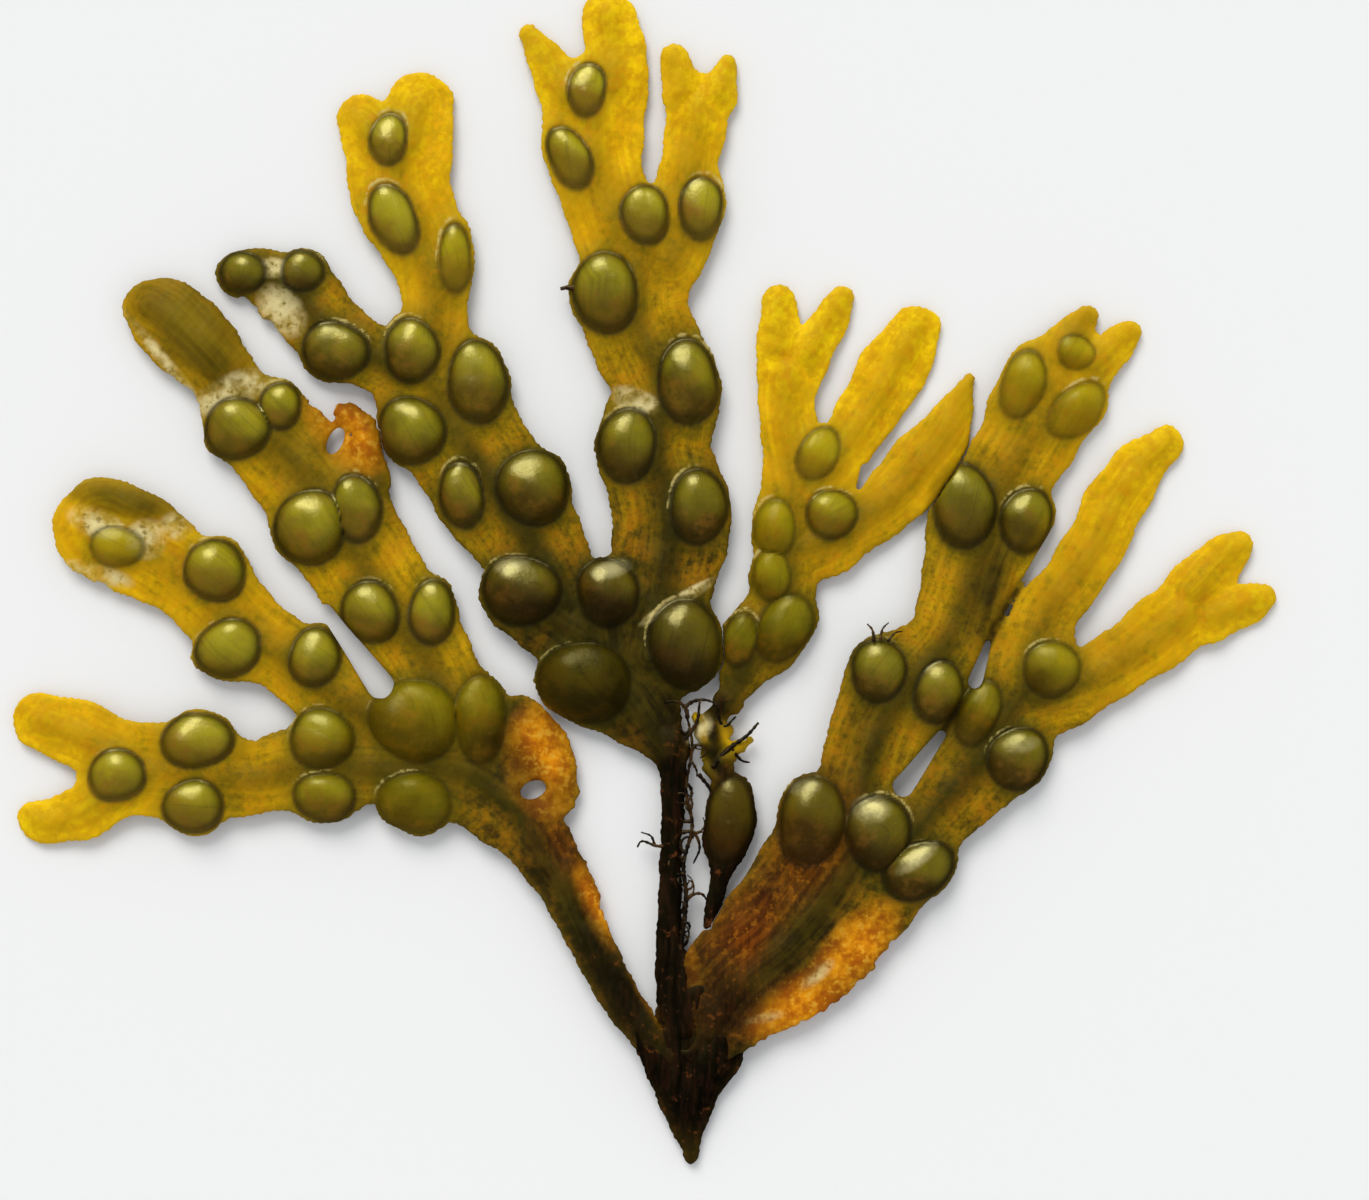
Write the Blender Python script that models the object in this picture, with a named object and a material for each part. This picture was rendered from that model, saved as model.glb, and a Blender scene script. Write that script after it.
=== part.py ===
# Bladder wrack seaweed, lying flat as one fan of forked fronds that grow from one dark holdfast.
# Millimetres are used in the tables and metres in the meshes. +X is right, +Y is towards the tips, +Z is up.
import math
from collections import namedtuple

import bpy
import numpy as np
from mathutils import Vector
from mathutils.geometry import delaunay_2d_cdt

MM = 0.001

# Driving dimensions, in millimetres
LAMINA_HALF = 0.5        # half thickness of the leafy blade
RIM_HALF = 0.32          # half thickness at the blade's edge
RIB_HEIGHT = 0.7         # how far the midrib stands above the blade
RIB_WIDTH = 1.5          # distance over which the midrib fades into the blade
BLADDER_FLATNESS = 0.8   # bladder height divided by its width
BLADDER_MARGIN = 0.5     # blade that shows around a bladder at the frond's edge
STEM_FLATNESS = 0.62     # height of a round stem divided by its width
FORK_GAP = 0.6           # gap where one branch meets the next
BLEND = 1.4              # roundness where bladders and ribbons run together
EDGE_WAVE = 0.25         # height of the gentle waves along the edges

# Fineness of the faceted solids, in millimetres
GRID_STEP = 0.7
CURVE_STEP = 1.5
OUTLINE_TOLERANCE = 0.16
OUTLINE_SPAN = 5.0
RIB_STEP = 5.0
POINT_CLEARANCE = 1.3
BLADDER_RINGS = ((0.5, 6, 0.0), (0.88, 9, 0.35))

# Plan position of the plant's bounding box centre in the tables' own frame
PLAN_CENTRE = (0.03, -0.23)

# A ribbon is (z at its start, z at its end, stations), and a station is (x, y, half width).
# A bladder is (x, y, length, width, angle of its length in degrees).
# A slit is (x and y of one end, x and y of the other end, half width), open between two fronds that cross.
SLITS = (
    (41.2, -33.6, 47.3, -25.4, 1.5),
    (52.8, -16.8, 54.8, -10.8, 1.1),
)
Branch = namedtuple("Branch", "name kind cut_by ribbons bladders")

BRANCHES = (
    Branch("holdfast", "stem", (), (
        (4.4, 1.2, ((8.2, -72.6, 7.3), (7.8, -75.4, 7.8), (7.3, -78.0, 6.8), (6.4, -81.4, 5.0),
                    (6.2, -84.6, 3.7), (6.8, -88.6, 2.4), (7.3, -91.0, 1.4), (7.3, -93.4, 0.8))),
    ), ()),
    Branch("left_stem", "blade", ("holdfast",), (
        (3.6, 3.6, ((1.4, -75.0, 2.6), (-3.9, -67.8, 3.2), (-7.4, -61.4, 3.5), (-10.6, -55.0, 3.8),
                    (-13.5, -48.6, 4.5))),
        (3.2, 2.2, ((-12.5, -47.0, 2.4), (-10.0, -50.5, 2.0), (-9.3, -54.4, 1.6))),
    ), ()),
    Branch("left_frond_base", "blade", ("left_stem",), (
        (3.6, 3.4, ((-15.6, -45.4, 4.9), (-17.8, -41.6, 5.6), (-21.8, -36.6, 7.2), (-28.2, -31.8, 8.0),
                    (-35.4, -30.2, 8.0))),
        (3.0, 2.2, ((-20.2, -23.3, 4.2), (-17.3, -28.6, 5.6), (-15.1, -34.2, 4.2))),
    ), ((-26.6, -22.7, 14.4, 8.0, 90), (-37.0, -23.0, 14.4, 12.8, 0), (-37.0, -36.1, 12.0, 9.3, 0))),
    Branch("left_frond_low", "blade", ("left_frond_base",), (
        (3.4, 3.2, ((-40.0, -31.0, 4.6), (-49.0, -30.7, 6.7), (-55.4, -30.7, 6.7), (-62.6, -32.3, 5.8),
                    (-71.4, -31.5, 7.4), (-79.4, -31.0, 7.4), (-85.0, -30.4, 6.6))),
        (3.2, 1.6, ((-85.8, -27.8, 5.5), (-90.6, -25.4, 5.4), (-97.0, -23.3, 4.4))),
        (3.2, 1.4, ((-85.0, -33.9, 4.8), (-89.8, -37.7, 4.3), (-95.4, -39.3, 3.7), (-98.1, -39.2, 3.0))),
    ), ((-71.9, -26.2, 11.5, 8.8, 0), (-72.5, -36.8, 9.9, 8.5, 0), (-84.7, -31.8, 9.3, 8.3, 0),
        (-51.9, -25.9, 9.9, 9.9, 0), (-51.4, -35.3, 9.6, 8.0, 0))),
    Branch("left_frond_middle", "blade", ("left_frond_base", "left_frond_low"), (
        (3.4, 2.8, ((-41.0, -24.3, 4.0), (-48.2, -19.8, 5.4), (-53.0, -16.6, 6.1), (-58.1, -12.6, 6.1),
                    (-64.2, -8.9, 7.0), (-69.8, -3.0, 7.3), (-74.9, 1.0, 6.8), (-81.0, 4.7, 8.2),
                    (-87.0, 7.8, 8.2))),
    ), ((-85.8, 7.4, 11.2, 9.6, 0), (-69.0, 1.0, 9.9, 9.9, 0), (-66.9, -11.5, 11.2, 9.0, 15),
        (-53.0, -12.9, 9.6, 8.0, 90))),
    Branch("left_frond_high", "blade", ("left_frond_base", "left_frond_middle"), (
        (3.4, 2.6, ((-31.4, -22.2, 7.0), (-34.6, -14.6, 7.6), (-38.6, -8.4, 8.4), (-43.4, -1.4, 8.6),
                    (-48.7, 7.4, 9.0), (-53.5, 15.1, 9.0), (-59.9, 22.3, 8.0), (-65.5, 27.9, 6.2),
                    (-68.5, 33.0, 5.4), (-72.3, 37.2, 6.5), (-76.3, 41.2, 6.4), (-79.6, 43.4, 4.3))),
        (2.8, 2.8, ((-48.2, 26.3, 1.8), (-45.5, 24.2, 2.2), (-44.4, 20.2, 2.2), (-42.9, 15.1, 2.2))),
    ), ((-65.5, 23.7, 10.6, 9.9, 0), (-58.6, 27.4, 7.7, 6.4, 90), (-53.8, 7.9, 11.8, 11.8, 0),
        (-46.3, 10.9, 11.2, 7.7, 100), (-44.2, -5.7, 9.9, 9.3, 90), (-34.3, -5.7, 10.4, 7.2, 90),
        (-71.4, 39.7, 17.0, 8.6, -45))),
    Branch("middle_stem", "stem", ("holdfast",), (
        (2.6, 2.8, ((4.1, -68.6, 2.2), (3.5, -58.2, 2.0), (4.0, -48.6, 1.8), (4.1, -39.0, 1.8),
                    (4.4, -31.8, 2.2), (4.8, -28.0, 2.6))),
    ), ()),
    Branch("middle_frond_base", "blade", ("middle_stem", "left_frond_base", "left_frond_high"), (
        (3.0, 3.6, ((4.1, -28.0, 2.4), (1.4, -24.6, 4.5), (-2.6, -19.0, 7.5), (-7.4, -13.4, 9.0),
                    (-9.0, -6.2, 8.0))),
        (3.6, 3.6, ((-9.5, -9.5, 7.5), (-14.5, -6.5, 7.2), (-19.0, -3.5, 6.5))),
        (3.6, 3.6, ((0.6, -12.6, 8.0), (2.2, -6.2, 6.8))),
    ), ((-9.8, -16.9, 15.2, 12.5, -15), (6.2, -10.7, 14.4, 12.0, 90), (-20.2, -2.2, 12.8, 11.2, 0),
        (-5.5, -2.5, 11.8, 11.5, 90))),
    Branch("middle_frond_left", "blade", ("middle_frond_base", "left_frond_high"), (
        (3.6, 3.2, ((-14.6, -0.6, 6.7), (-17.8, 5.0, 8.3), (-22.3, 11.4, 9.6), (-26.9, 18.3, 9.6),
                    (-31.7, 25.8, 9.9), (-34.6, 31.7, 9.2), (-35.4, 36.2, 7.0))),
    ), ((-26.9, 31.1, 13.8, 9.3, 95), (-37.5, 23.4, 10.9, 10.6, 0), (-29.5, 13.0, 10.2, 7.2, 100),
        (-18.1, 14.3, 11.8, 11.8, 0), (-37.5, 36.2, 10.2, 8.8, 90))),
    Branch("middle_frond_left_tip_low", "blade", ("middle_frond_left",), (
        (3.2, 2.0, ((-41.8, 34.3, 5.4), (-46.1, 36.5, 5.4), (-51.4, 40.2, 5.9), (-55.4, 44.5, 6.4),
                    (-60.2, 47.7, 4.8), (-63.1, 48.8, 3.3))),
    ), ((-64.8, 48.8, 7.4, 6.7, 0), (-55.1, 49.0, 7.0, 6.4, 0), (-49.8, 36.2, 10.9, 9.0, 0))),
    Branch("middle_frond_left_tip_high", "blade", ("middle_frond_left", "middle_frond_left_tip_low"), (
        (3.2, 2.6, ((-34.0, 38.2, 5.3), (-34.0, 46.6, 5.4), (-36.2, 54.3, 6.7), (-39.4, 61.8, 8.0),
                    (-39.9, 68.2, 8.3))),
        (2.6, 1.4, ((-42.9, 69.8, 5.8), (-45.3, 72.8, 4.2))),
        (2.6, 1.4, ((-37.5, 69.8, 6.6), (-36.2, 75.2, 5.4))),
    ), ((-41.3, 70.1, 8.3, 6.1, 90), (-40.5, 57.3, 12.0, 7.2, 115), (-30.6, 50.9, 10.6, 5.1, 90))),
    Branch("middle_frond_up", "blade", ("middle_frond_base", "middle_frond_left"), (
        (3.6, 3.0, ((2.2, -3.8, 7.4), (3.0, 1.0, 8.6), (4.0, 7.4, 9.3), (3.5, 13.0, 9.3),
                    (1.6, 19.4, 9.0), (2.2, 25.0, 8.8), (3.3, 30.1, 7.8), (0.6, 36.2, 8.6),
                    (-1.8, 42.6, 8.6), (-1.6, 48.2, 8.8), (-1.0, 53.0, 8.0))),
    ), ((-6.6, 45.5, 13.1, 10.4, 90), (6.7, 31.1, 13.4, 9.6, 90), (-3.1, 21.0, 11.8, 9.3, 90),
        (8.6, 11.1, 12.2, 9.6, 90), (-0.2, 58.0, 9.6, 7.7, 90))),
    Branch("middle_frond_up_tip_left", "blade", ("middle_frond_up",), (
        (3.0, 2.6, ((-5.0, 56.2, 7.0), (-6.6, 61.0, 7.0), (-8.0, 66.6, 7.4), (-8.4, 72.2, 8.0),
                    (-8.4, 76.5, 7.6))),
        (2.4, 1.2, ((-12.8, 77.5, 4.6), (-15.7, 82.3, 3.2), (-18.1, 86.4, 2.1))),
        (2.6, 1.6, ((-5.5, 78.6, 6.1), (-5.0, 84.2, 5.1), (-6.0, 89.6, 4.4))),
    ), ((-12.0, 67.1, 10.2, 7.7, 105), (-9.5, 78.1, 8.6, 6.1, 90))),
    Branch("middle_frond_up_tip_right", "blade", ("middle_frond_up", "middle_frond_up_tip_left"), (
        (3.0, 2.4, ((5.4, 54.4, 5.1), (6.4, 61.0, 5.3), (7.0, 66.6, 4.5), (8.0, 72.2, 5.1),
                    (8.3, 75.9, 5.2))),
        (2.4, 1.4, ((5.9, 78.1, 3.5), (4.9, 82.9, 2.5))),
        (2.4, 1.2, ((11.6, 77.5, 3.0), (13.2, 82.1, 1.6))),
    ), ((8.8, 59.1, 9.9, 7.0, 90),)),
    Branch("small_stem", "stem", ("holdfast", "middle_stem"), (
        (2.4, 3.0, ((8.3, -59.6, 1.4), (9.9, -52.6, 1.4), (11.2, -48.6, 1.5), (13.1, -43.8, 2.2),
                    (13.4, -38.2, 3.0), (12.1, -31.8, 1.6), (10.5, -27.0, 1.4), (11.2, -22.2, 1.5),
                    (13.0, -19.6, 1.6))),
    ), ((13.4, -39.0, 13.8, 7.4, 80),)),
    Branch("small_frond", "blade", ("small_stem", "middle_frond_base", "middle_frond_up"), (
        (3.0, 2.6, ((14.2, -18.0, 2.6), (16.3, -13.4, 4.6), (19.5, -8.9, 6.1), (22.0, -3.8, 4.9),
                    (22.7, 1.0, 5.1), (23.5, 5.8, 6.1), (24.6, 11.4, 6.4), (24.1, 17.8, 5.4),
                    (23.0, 23.4, 4.8), (22.5, 28.2, 4.5), (23.0, 32.7, 5.1))),
        (2.6, 1.4, ((21.2, 37.0, 3.6), (21.2, 43.2, 3.0))),
        (2.6, 1.3, ((25.9, 35.2, 3.8), (29.1, 40.5, 3.0), (31.3, 44.2, 1.9))),
    ), ((22.2, -8.1, 11.2, 8.3, 60), (15.0, -10.2, 8.3, 5.4, 80), (20.6, 7.7, 9.0, 6.7, 90),
        (20.1, 0.2, 8.0, 6.1, 90), (27.6, 19.7, 8.6, 6.4, 60))),
    Branch("small_frond_tip_middle", "blade", ("small_frond",), (
        (2.8, 1.4, ((27.5, 15.4, 5.8), (32.6, 21.8, 4.5), (36.3, 27.7, 5.1), (40.3, 34.3, 5.4),
                    (43.5, 39.7, 4.0))),
    ), ()),
    Branch("small_frond_tip_low", "blade", ("small_frond", "small_frond_tip_middle"), (
        (2.8, 1.2, ((28.1, 5.8, 6.1), (34.2, 9.0, 5.1), (39.8, 13.0, 5.3), (44.6, 18.6, 5.1),
                    (48.6, 24.2, 4.0), (51.2, 29.8, 1.8))),
    ), ((29.7, 10.0, 8.0, 8.0, 0),)),
    Branch("right_frond_base", "blade", ("holdfast", "middle_stem", "small_stem"), (
        (4.0, 3.8, ((12.1, -70.2, 6.7), (15.8, -65.4, 9.3), (23.0, -59.0, 11.8), (28.6, -51.8, 12.8),
                    (32.9, -45.7, 13.4), (36.6, -41.4, 13.4))),
    ), ((26.5, -39.0, 14.1, 10.6, 75), (37.1, -40.9, 12.2, 10.2, 80), (43.5, -47.0, 12.2, 8.6, 30))),
    Branch("right_frond_inner", "blade", ("right_frond_base", "small_frond", "small_frond_tip_low"), (
        (3.8, 3.4, ((33.9, -36.6, 7.4), (35.5, -30.7, 7.4), (37.7, -24.6, 8.3), (41.4, -18.2, 9.0),
                    (47.8, -11.0, 6.5), (50.8, -5.1, 6.2), (52.3, 1.0, 8.0), (54.7, 8.2, 9.6),
                    (56.1, 13.8, 8.6))),
    ), ((37.2, -15.0, 10.2, 8.6, 80), (46.8, -18.5, 9.9, 8.0, 80), (50.7, 11.1, 12.8, 10.9, 90),
        (60.9, 9.0, 10.6, 8.3, 80))),
    Branch("right_frond_inner_tip", "blade", ("right_frond_inner", "small_frond_tip_low"), (
        (3.4, 2.8, ((57.6, 15.7, 7.4), (60.6, 21.0, 7.7), (63.3, 26.3, 8.3), (65.9, 31.4, 7.4))),
        (2.8, 1.3, ((67.0, 35.7, 4.6), (70.5, 41.0, 2.2))),
        (2.8, 1.2, ((71.6, 33.6, 3.8), (75.8, 37.5, 2.9), (77.9, 39.4, 1.8))),
    ), ((60.4, 30.8, 11.2, 6.7, 75), (68.8, 26.4, 9.6, 8.0, 50), (68.9, 36.0, 5.8, 5.4, 0))),
    Branch("right_frond_outer", "blade", ("right_frond_base", "right_frond_inner"), (
        (3.8, 3.4, ((41.4, -43.0, 7.4), (46.2, -37.1, 7.0), (51.0, -32.1, 7.8), (55.5, -26.5, 8.6),
                    (59.0, -20.9, 8.3), (63.0, -15.8, 7.7))),
    ), ((59.5, -29.1, 9.9, 9.9, 0), (53.1, -21.7, 10.6, 6.7, 70), (64.9, -14.8, 9.3, 8.6, 0))),
    Branch("right_frond_outer_tip_up", "blade", ("right_frond_outer", "right_frond_inner"), (
        (3.4, 1.4, ((62.2, -11.8, 6.6), (63.5, -5.7, 5.8), (68.1, 0.2, 5.3), (72.0, 6.1, 5.3),
                    (75.2, 12.2, 5.1), (79.3, 17.5, 4.2), (83.8, 21.6, 2.6))),
    ), ()),
    Branch("right_frond_outer_tip_side", "blade", ("right_frond_outer", "right_frond_outer_tip_up"), (
        (3.4, 2.2, ((64.9, -18.5, 7.0), (71.0, -16.1, 6.1), (77.4, -12.6, 5.4), (83.0, -8.6, 5.9),
                    (86.7, -5.7, 5.6))),
        (2.2, 1.3, ((87.8, -2.5, 4.8), (92.3, 2.3, 3.8), (95.5, 5.0, 2.1))),
        (2.2, 1.2, ((91.0, -6.4, 4.0), (96.6, -4.4, 3.2), (99.5, -3.3, 2.1))),
    ), ()),
)
BY_NAME = {branch.name: branch for branch in BRANCHES}

# Base colour, roughness and metallic value of each material
MATERIALS = {
    "dark_stipe": ((0.020, 0.008, 0.003), 0.55, 0.0),
    "brown_blade": ((0.130, 0.062, 0.006), 0.5, 0.0),
    "olive_blade": ((0.300, 0.185, 0.008), 0.45, 0.0),
    "golden_blade": ((0.640, 0.400, 0.010), 0.45, 0.0),
}
DARK_BRANCHES = ("holdfast", "middle_stem", "small_stem")
BROWN_BRANCHES = ("left_stem", "left_frond_base", "middle_frond_base", "right_frond_base")


def smooth_min(a, b, roundness):
    """The smaller of two distances, rounded where they are alike."""
    blend = np.maximum(roundness - np.abs(a - b), 0.0) / roundness
    return np.minimum(a, b) - blend * blend * roundness * 0.25


def spline(stations, step):
    """Points of a smooth curve through the stations, about one step apart."""
    rows = np.array(stations, dtype=float)
    ends = np.vstack([2.0 * rows[0] - rows[1], rows, 2.0 * rows[-1] - rows[-2]])
    points = []
    for index in range(len(rows) - 1):
        before, start, end, after = ends[index:index + 4]
        count = max(1, math.ceil(math.dist(start[:2], end[:2]) / step))
        for part in range(count):
            t = part / count
            points.append(0.5 * (2.0 * start + (end - before) * t
                                 + (2.0 * before - 5.0 * start + 4.0 * end - after) * t ** 2
                                 + (3.0 * start - before - 3.0 * end + after) * t ** 3))
    points.append(rows[-1])
    return np.array(points)


def ribbon_points(ribbon, step):
    """Stations of a ribbon as rows of x, y, half width and z."""
    z_start, z_end, stations = ribbon
    points = spline(stations, step)
    lengths = np.hypot(*np.diff(points[:, :2], axis=0).T)
    travelled = np.concatenate([[0.0], np.cumsum(lengths)])
    z_values = z_start + (z_end - z_start) * travelled / travelled[-1]
    return np.column_stack([points, z_values])


RIBBON_POINTS = {branch.name: [ribbon_points(ribbon, CURVE_STEP) for ribbon in branch.ribbons]
                 for branch in BRANCHES}


def segment_distances(points, rows):
    """Distance to each stretch of a ribbon's middle line, with the half width and z beside it."""
    start, end = rows[:-1], rows[1:]
    along = end[:, :2] - start[:, :2]
    offset = points[:, None, :] - start[None, :, :2]
    t = np.clip((offset * along).sum(axis=2) / (along * along).sum(axis=1), 0.0, 1.0)
    distance = np.hypot(offset[..., 0] - t * along[:, 0], offset[..., 1] - t * along[:, 1])
    half_width = start[:, 2] + t * (end[:, 2] - start[:, 2])
    height = start[:, 3] + t * (end[:, 3] - start[:, 3])
    return distance, half_width, height


def bladder_radius(points, bladder):
    """How far out a point lies in a bladder's outline: 0 in its middle and 1 on its edge."""
    x, y, length, width, angle = bladder
    turn = math.radians(angle)
    dx, dy = points[:, 0] - x, points[:, 1] - y
    along = (dx * math.cos(turn) + dy * math.sin(turn)) / (length / 2)
    across = (dy * math.cos(turn) - dx * math.sin(turn)) / (width / 2)
    return np.hypot(along, across)


def edge_wave(points):
    """Gentle unevenness of the fronds' edges."""
    x, y = points[:, 0], points[:, 1]
    return EDGE_WAVE * (0.6 * np.sin(0.71 * x + 0.33 * y) + 0.4 * np.sin(1.13 * y - 0.52 * x + 1.3))


def slit_distance(points, slit):
    """Distance outside a slit with round ends."""
    x, y, end_x, end_y, half_width = slit
    rows = np.array(((x, y, half_width, 0.0), (end_x, end_y, half_width, 0.0)))
    distance, width, _ = segment_distances(points, rows)
    return (distance - width)[:, 0]


def outline_distance(points, branch):
    """Distance outside a branch's outline, negative inside."""
    result = None
    for rows in RIBBON_POINTS[branch.name]:
        distance, half_width, _ = segment_distances(points, rows)
        reach = (distance - half_width).min(axis=1)
        result = reach if result is None else smooth_min(result, reach, BLEND)
    for bladder in branch.bladders:
        reach = (bladder_radius(points, bladder) - 1.0) * bladder[3] / 2 - BLADDER_MARGIN
        result = smooth_min(result, reach, BLEND)
    return result + edge_wave(points)


def node_distance(points, branch):
    """A branch's outline, cut back by a gap where it meets its neighbours."""
    result = outline_distance(points, branch)
    for name in branch.cut_by:
        result = np.maximum(result, FORK_GAP - outline_distance(points, BY_NAME[name]))
    for slit in SLITS:
        result = np.maximum(result, -slit_distance(points, slit))
    return result


def middle_height(points, branch):
    """Height of the blade's middle layer, which follows the nearest midribs."""
    weights, heights = [], []
    for rows in RIBBON_POINTS[branch.name]:
        distance, _, height = segment_distances(points, rows)
        weights.append(1.0 / (distance ** 2 + 0.5) ** 2)
        heights.append(height)
    weights = np.hstack(weights)
    return (weights * np.hstack(heights)).sum(axis=1) / weights.sum(axis=1)


def half_thickness(points, branch, inside):
    """Half the thickness of blade, midrib and bladders, where inside is the distance from the edge."""
    if branch.kind == "stem":
        distance, half_width, _ = segment_distances(points, RIBBON_POINTS[branch.name][0])
        nearest = (distance - half_width).argmin(axis=1)
        width = half_width[np.arange(len(points)), nearest]
        share = np.clip(distance[np.arange(len(points)), nearest] / width, 0.0, 1.0)
        result = np.maximum(width * STEM_FLATNESS * np.sqrt(1.0 - share ** 2), RIM_HALF)
    else:
        rib = np.min([segment_distances(points, rows)[0].min(axis=1)
                      for rows in RIBBON_POINTS[branch.name]], axis=0)
        fade = np.clip(inside / RIB_WIDTH, 0.0, 1.0)
        blade = RIM_HALF + (LAMINA_HALF - RIM_HALF) * fade
        result = blade + fade * RIB_HEIGHT * np.exp(-(rib / RIB_WIDTH) ** 2)
    for bladder in branch.bladders:
        radius = bladder_radius(points, bladder)
        bulge = bladder[3] / 2 * BLADDER_FLATNESS * np.sqrt(np.clip(1.0 - radius ** 2, 0.0, None))
        result = np.maximum(result, bulge)
    return result


def contour_loops(values, xs, ys):
    """Closed outlines where a grid of distances crosses zero, with the inside on their left."""
    links = {}

    def crossing(a, b):
        share = values[a] / (values[a] - values[b])
        return (xs[a[0]] + share * (xs[b[0]] - xs[a[0]]), ys[a[1]] + share * (ys[b[1]] - ys[a[1]]))

    places = {}
    for i in range(len(xs) - 1):
        for j in range(len(ys) - 1):
            corners = ((i, j), (i + 1, j), (i + 1, j + 1), (i, j + 1))
            inside = [values[corner] < 0.0 for corner in corners]
            if all(inside) or not any(inside):
                continue
            for side in range(4):
                if inside[side] and not inside[(side + 1) % 4]:
                    step = (side + 1) % 4
                    while inside[(step + 1) % 4] == inside[step]:
                        step = (step + 1) % 4
                    start = tuple(sorted((corners[side], corners[(side + 1) % 4])))
                    end = tuple(sorted((corners[step], corners[(step + 1) % 4])))
                    links[start] = end
                    places[start] = crossing(*start)
                    places[end] = crossing(*end)
    loops = []
    while links:
        first, following = links.popitem()
        loop = [first]
        while following != first:
            loop.append(following)
            following = links.pop(following)
        loops.append(np.array([places[key] for key in reversed(loop)]))
    return loops


def signed_area(loop):
    x, y = loop[:, 0], loop[:, 1]
    return 0.5 * float(np.sum(x * np.roll(y, -1) - y * np.roll(x, -1)))


def simplify(loop):
    """Fewest points that keep the outline within the tolerance and the span."""
    def keep(first, last):
        if last - first < 2:
            return []
        start, end = loop[first], loop[last % len(loop)]
        chord = end - start
        length = math.hypot(*chord)
        between = loop[first + 1:last] - start
        if length > 0.0:
            away = np.abs(between[:, 0] * chord[1] - between[:, 1] * chord[0]) / length
        else:
            away = np.hypot(between[:, 0], between[:, 1])
        middle = first + 1 + int(away.argmax())
        if away.max() <= OUTLINE_TOLERANCE:
            if length <= OUTLINE_SPAN:
                return []
            middle = (first + last) // 2
        return keep(first, middle) + [middle] + keep(middle, last)

    half = len(loop) // 2
    chosen = [0] + keep(0, half) + [half] + keep(half, len(loop))
    points = loop[chosen]
    apart = np.hypot(*(points - np.roll(points, 1, axis=0)).T)
    return points[apart > 0.25]


def inner_points(branch):
    """Points inside the outline: rings on each bladder, then points along the midribs."""
    points = []
    for x, y, length, width, angle in branch.bladders:
        points.append((x, y))
        turn = math.radians(angle)
        for share, count, start in BLADDER_RINGS:
            for index in range(count):
                bearing = start + 2.0 * math.pi * index / count
                u = share * length / 2 * math.cos(bearing)
                v = share * width / 2 * math.sin(bearing)
                points.append((x + u * math.cos(turn) - v * math.sin(turn),
                               y + u * math.sin(turn) + v * math.cos(turn)))
    for rows in RIBBON_POINTS[branch.name]:
        stride = max(1, round(RIB_STEP / CURVE_STEP))
        points.extend((x, y) for x, y in rows[::stride, :2])
        if branch.kind == "blade":
            for index in range(stride // 2, len(rows) - 1, stride):
                along = rows[index + 1, :2] - rows[index, :2]
                normal = np.array([-along[1], along[0]]) / math.hypot(*along)
                for side in (-1.0, 1.0):
                    points.append(tuple(rows[index, :2] + side * 0.5 * rows[index, 2] * normal))
    return points


def spread_out(points, branch, outline):
    """Those points that lie well inside the outline and clear of each other."""
    candidates = np.array(points)
    depth = -node_distance(candidates, branch)
    kept = []
    for point, inside in zip(candidates, depth):
        if inside < POINT_CLEARANCE * 0.75:
            continue
        others = np.vstack([outline] + kept) if kept else outline
        if np.hypot(*(others - point).T).min() >= POINT_CLEARANCE:
            kept.append(point[None, :])
    return np.vstack(kept)


def branch_outline(branch):
    """The branch's outline as a simplified loop that runs anticlockwise."""
    rows = np.vstack(RIBBON_POINTS[branch.name])
    reach = rows[:, 2].max() + 6.0
    low, high = rows[:, :2].min(axis=0) - reach, rows[:, :2].max(axis=0) + reach
    xs = np.arange(low[0], high[0], GRID_STEP)
    ys = np.arange(low[1], high[1], GRID_STEP)
    grid = np.stack(np.meshgrid(xs, ys, indexing="ij"), axis=-1).reshape(-1, 2)
    values = node_distance(grid, branch).reshape(len(xs), len(ys))
    loop = max(contour_loops(values, xs, ys), key=lambda item: abs(signed_area(item)))
    if signed_area(loop) < 0.0:
        loop = loop[::-1]
    return simplify(loop)


def make_branch(branch, material):
    """One closed solid: top and bottom skins over the same triangles, joined by a rim."""
    outline = branch_outline(branch)
    inner = spread_out(inner_points(branch), branch, outline)
    plan = np.vstack([outline, inner])
    count = len(outline)
    loop_edges = [(index, (index + 1) % count) for index in range(count)]
    flat, _, triangles, _, _, _ = delaunay_2d_cdt(
        [Vector(point) for point in plan], loop_edges, [list(range(count))], 1, 1e-6)
    if len(flat) != len(plan):
        raise ValueError(branch.name + ": the outline crosses itself")
    plan = np.array([tuple(point) for point in flat])
    inside = np.clip(-node_distance(plan, branch), 0.0, None)
    inside[:count] = 0.0
    middle = middle_height(plan, branch)
    half = half_thickness(plan, branch, inside)
    top = middle + half
    bottom = np.maximum(middle - half, 0.0)
    centred = plan - np.array(PLAN_CENTRE)
    verts = [(x * MM, y * MM, z * MM) for (x, y), z in zip(centred, top)]
    verts += [(x * MM, y * MM, z * MM) for (x, y), z in zip(centred, bottom)]
    total = len(plan)
    faces = [tuple(face) for face in triangles]
    faces += [tuple(total + index for index in reversed(face)) for face in triangles]
    for start, end in loop_edges:
        faces.append((start, total + start, total + end))
        faces.append((start, total + end, end))
    mesh = bpy.data.meshes.new(branch.name)
    mesh.from_pydata(verts, [], faces)
    mesh.materials.append(material)
    mesh.shade_smooth()
    mesh.set_sharp_from_angle(angle=math.radians(50))
    bpy.context.scene.collection.objects.link(bpy.data.objects.new(branch.name, mesh))


def make_material(name):
    colour, roughness, metallic = MATERIALS[name]
    material = bpy.data.materials.new(name)
    material.use_nodes = True
    shader = material.node_tree.nodes["Principled BSDF"]
    shader.inputs["Base Color"].default_value = (*colour, 1.0)
    shader.inputs["Roughness"].default_value = roughness
    shader.inputs["Metallic"].default_value = metallic
    material.diffuse_color = (*colour, 1.0)
    return material


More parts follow.
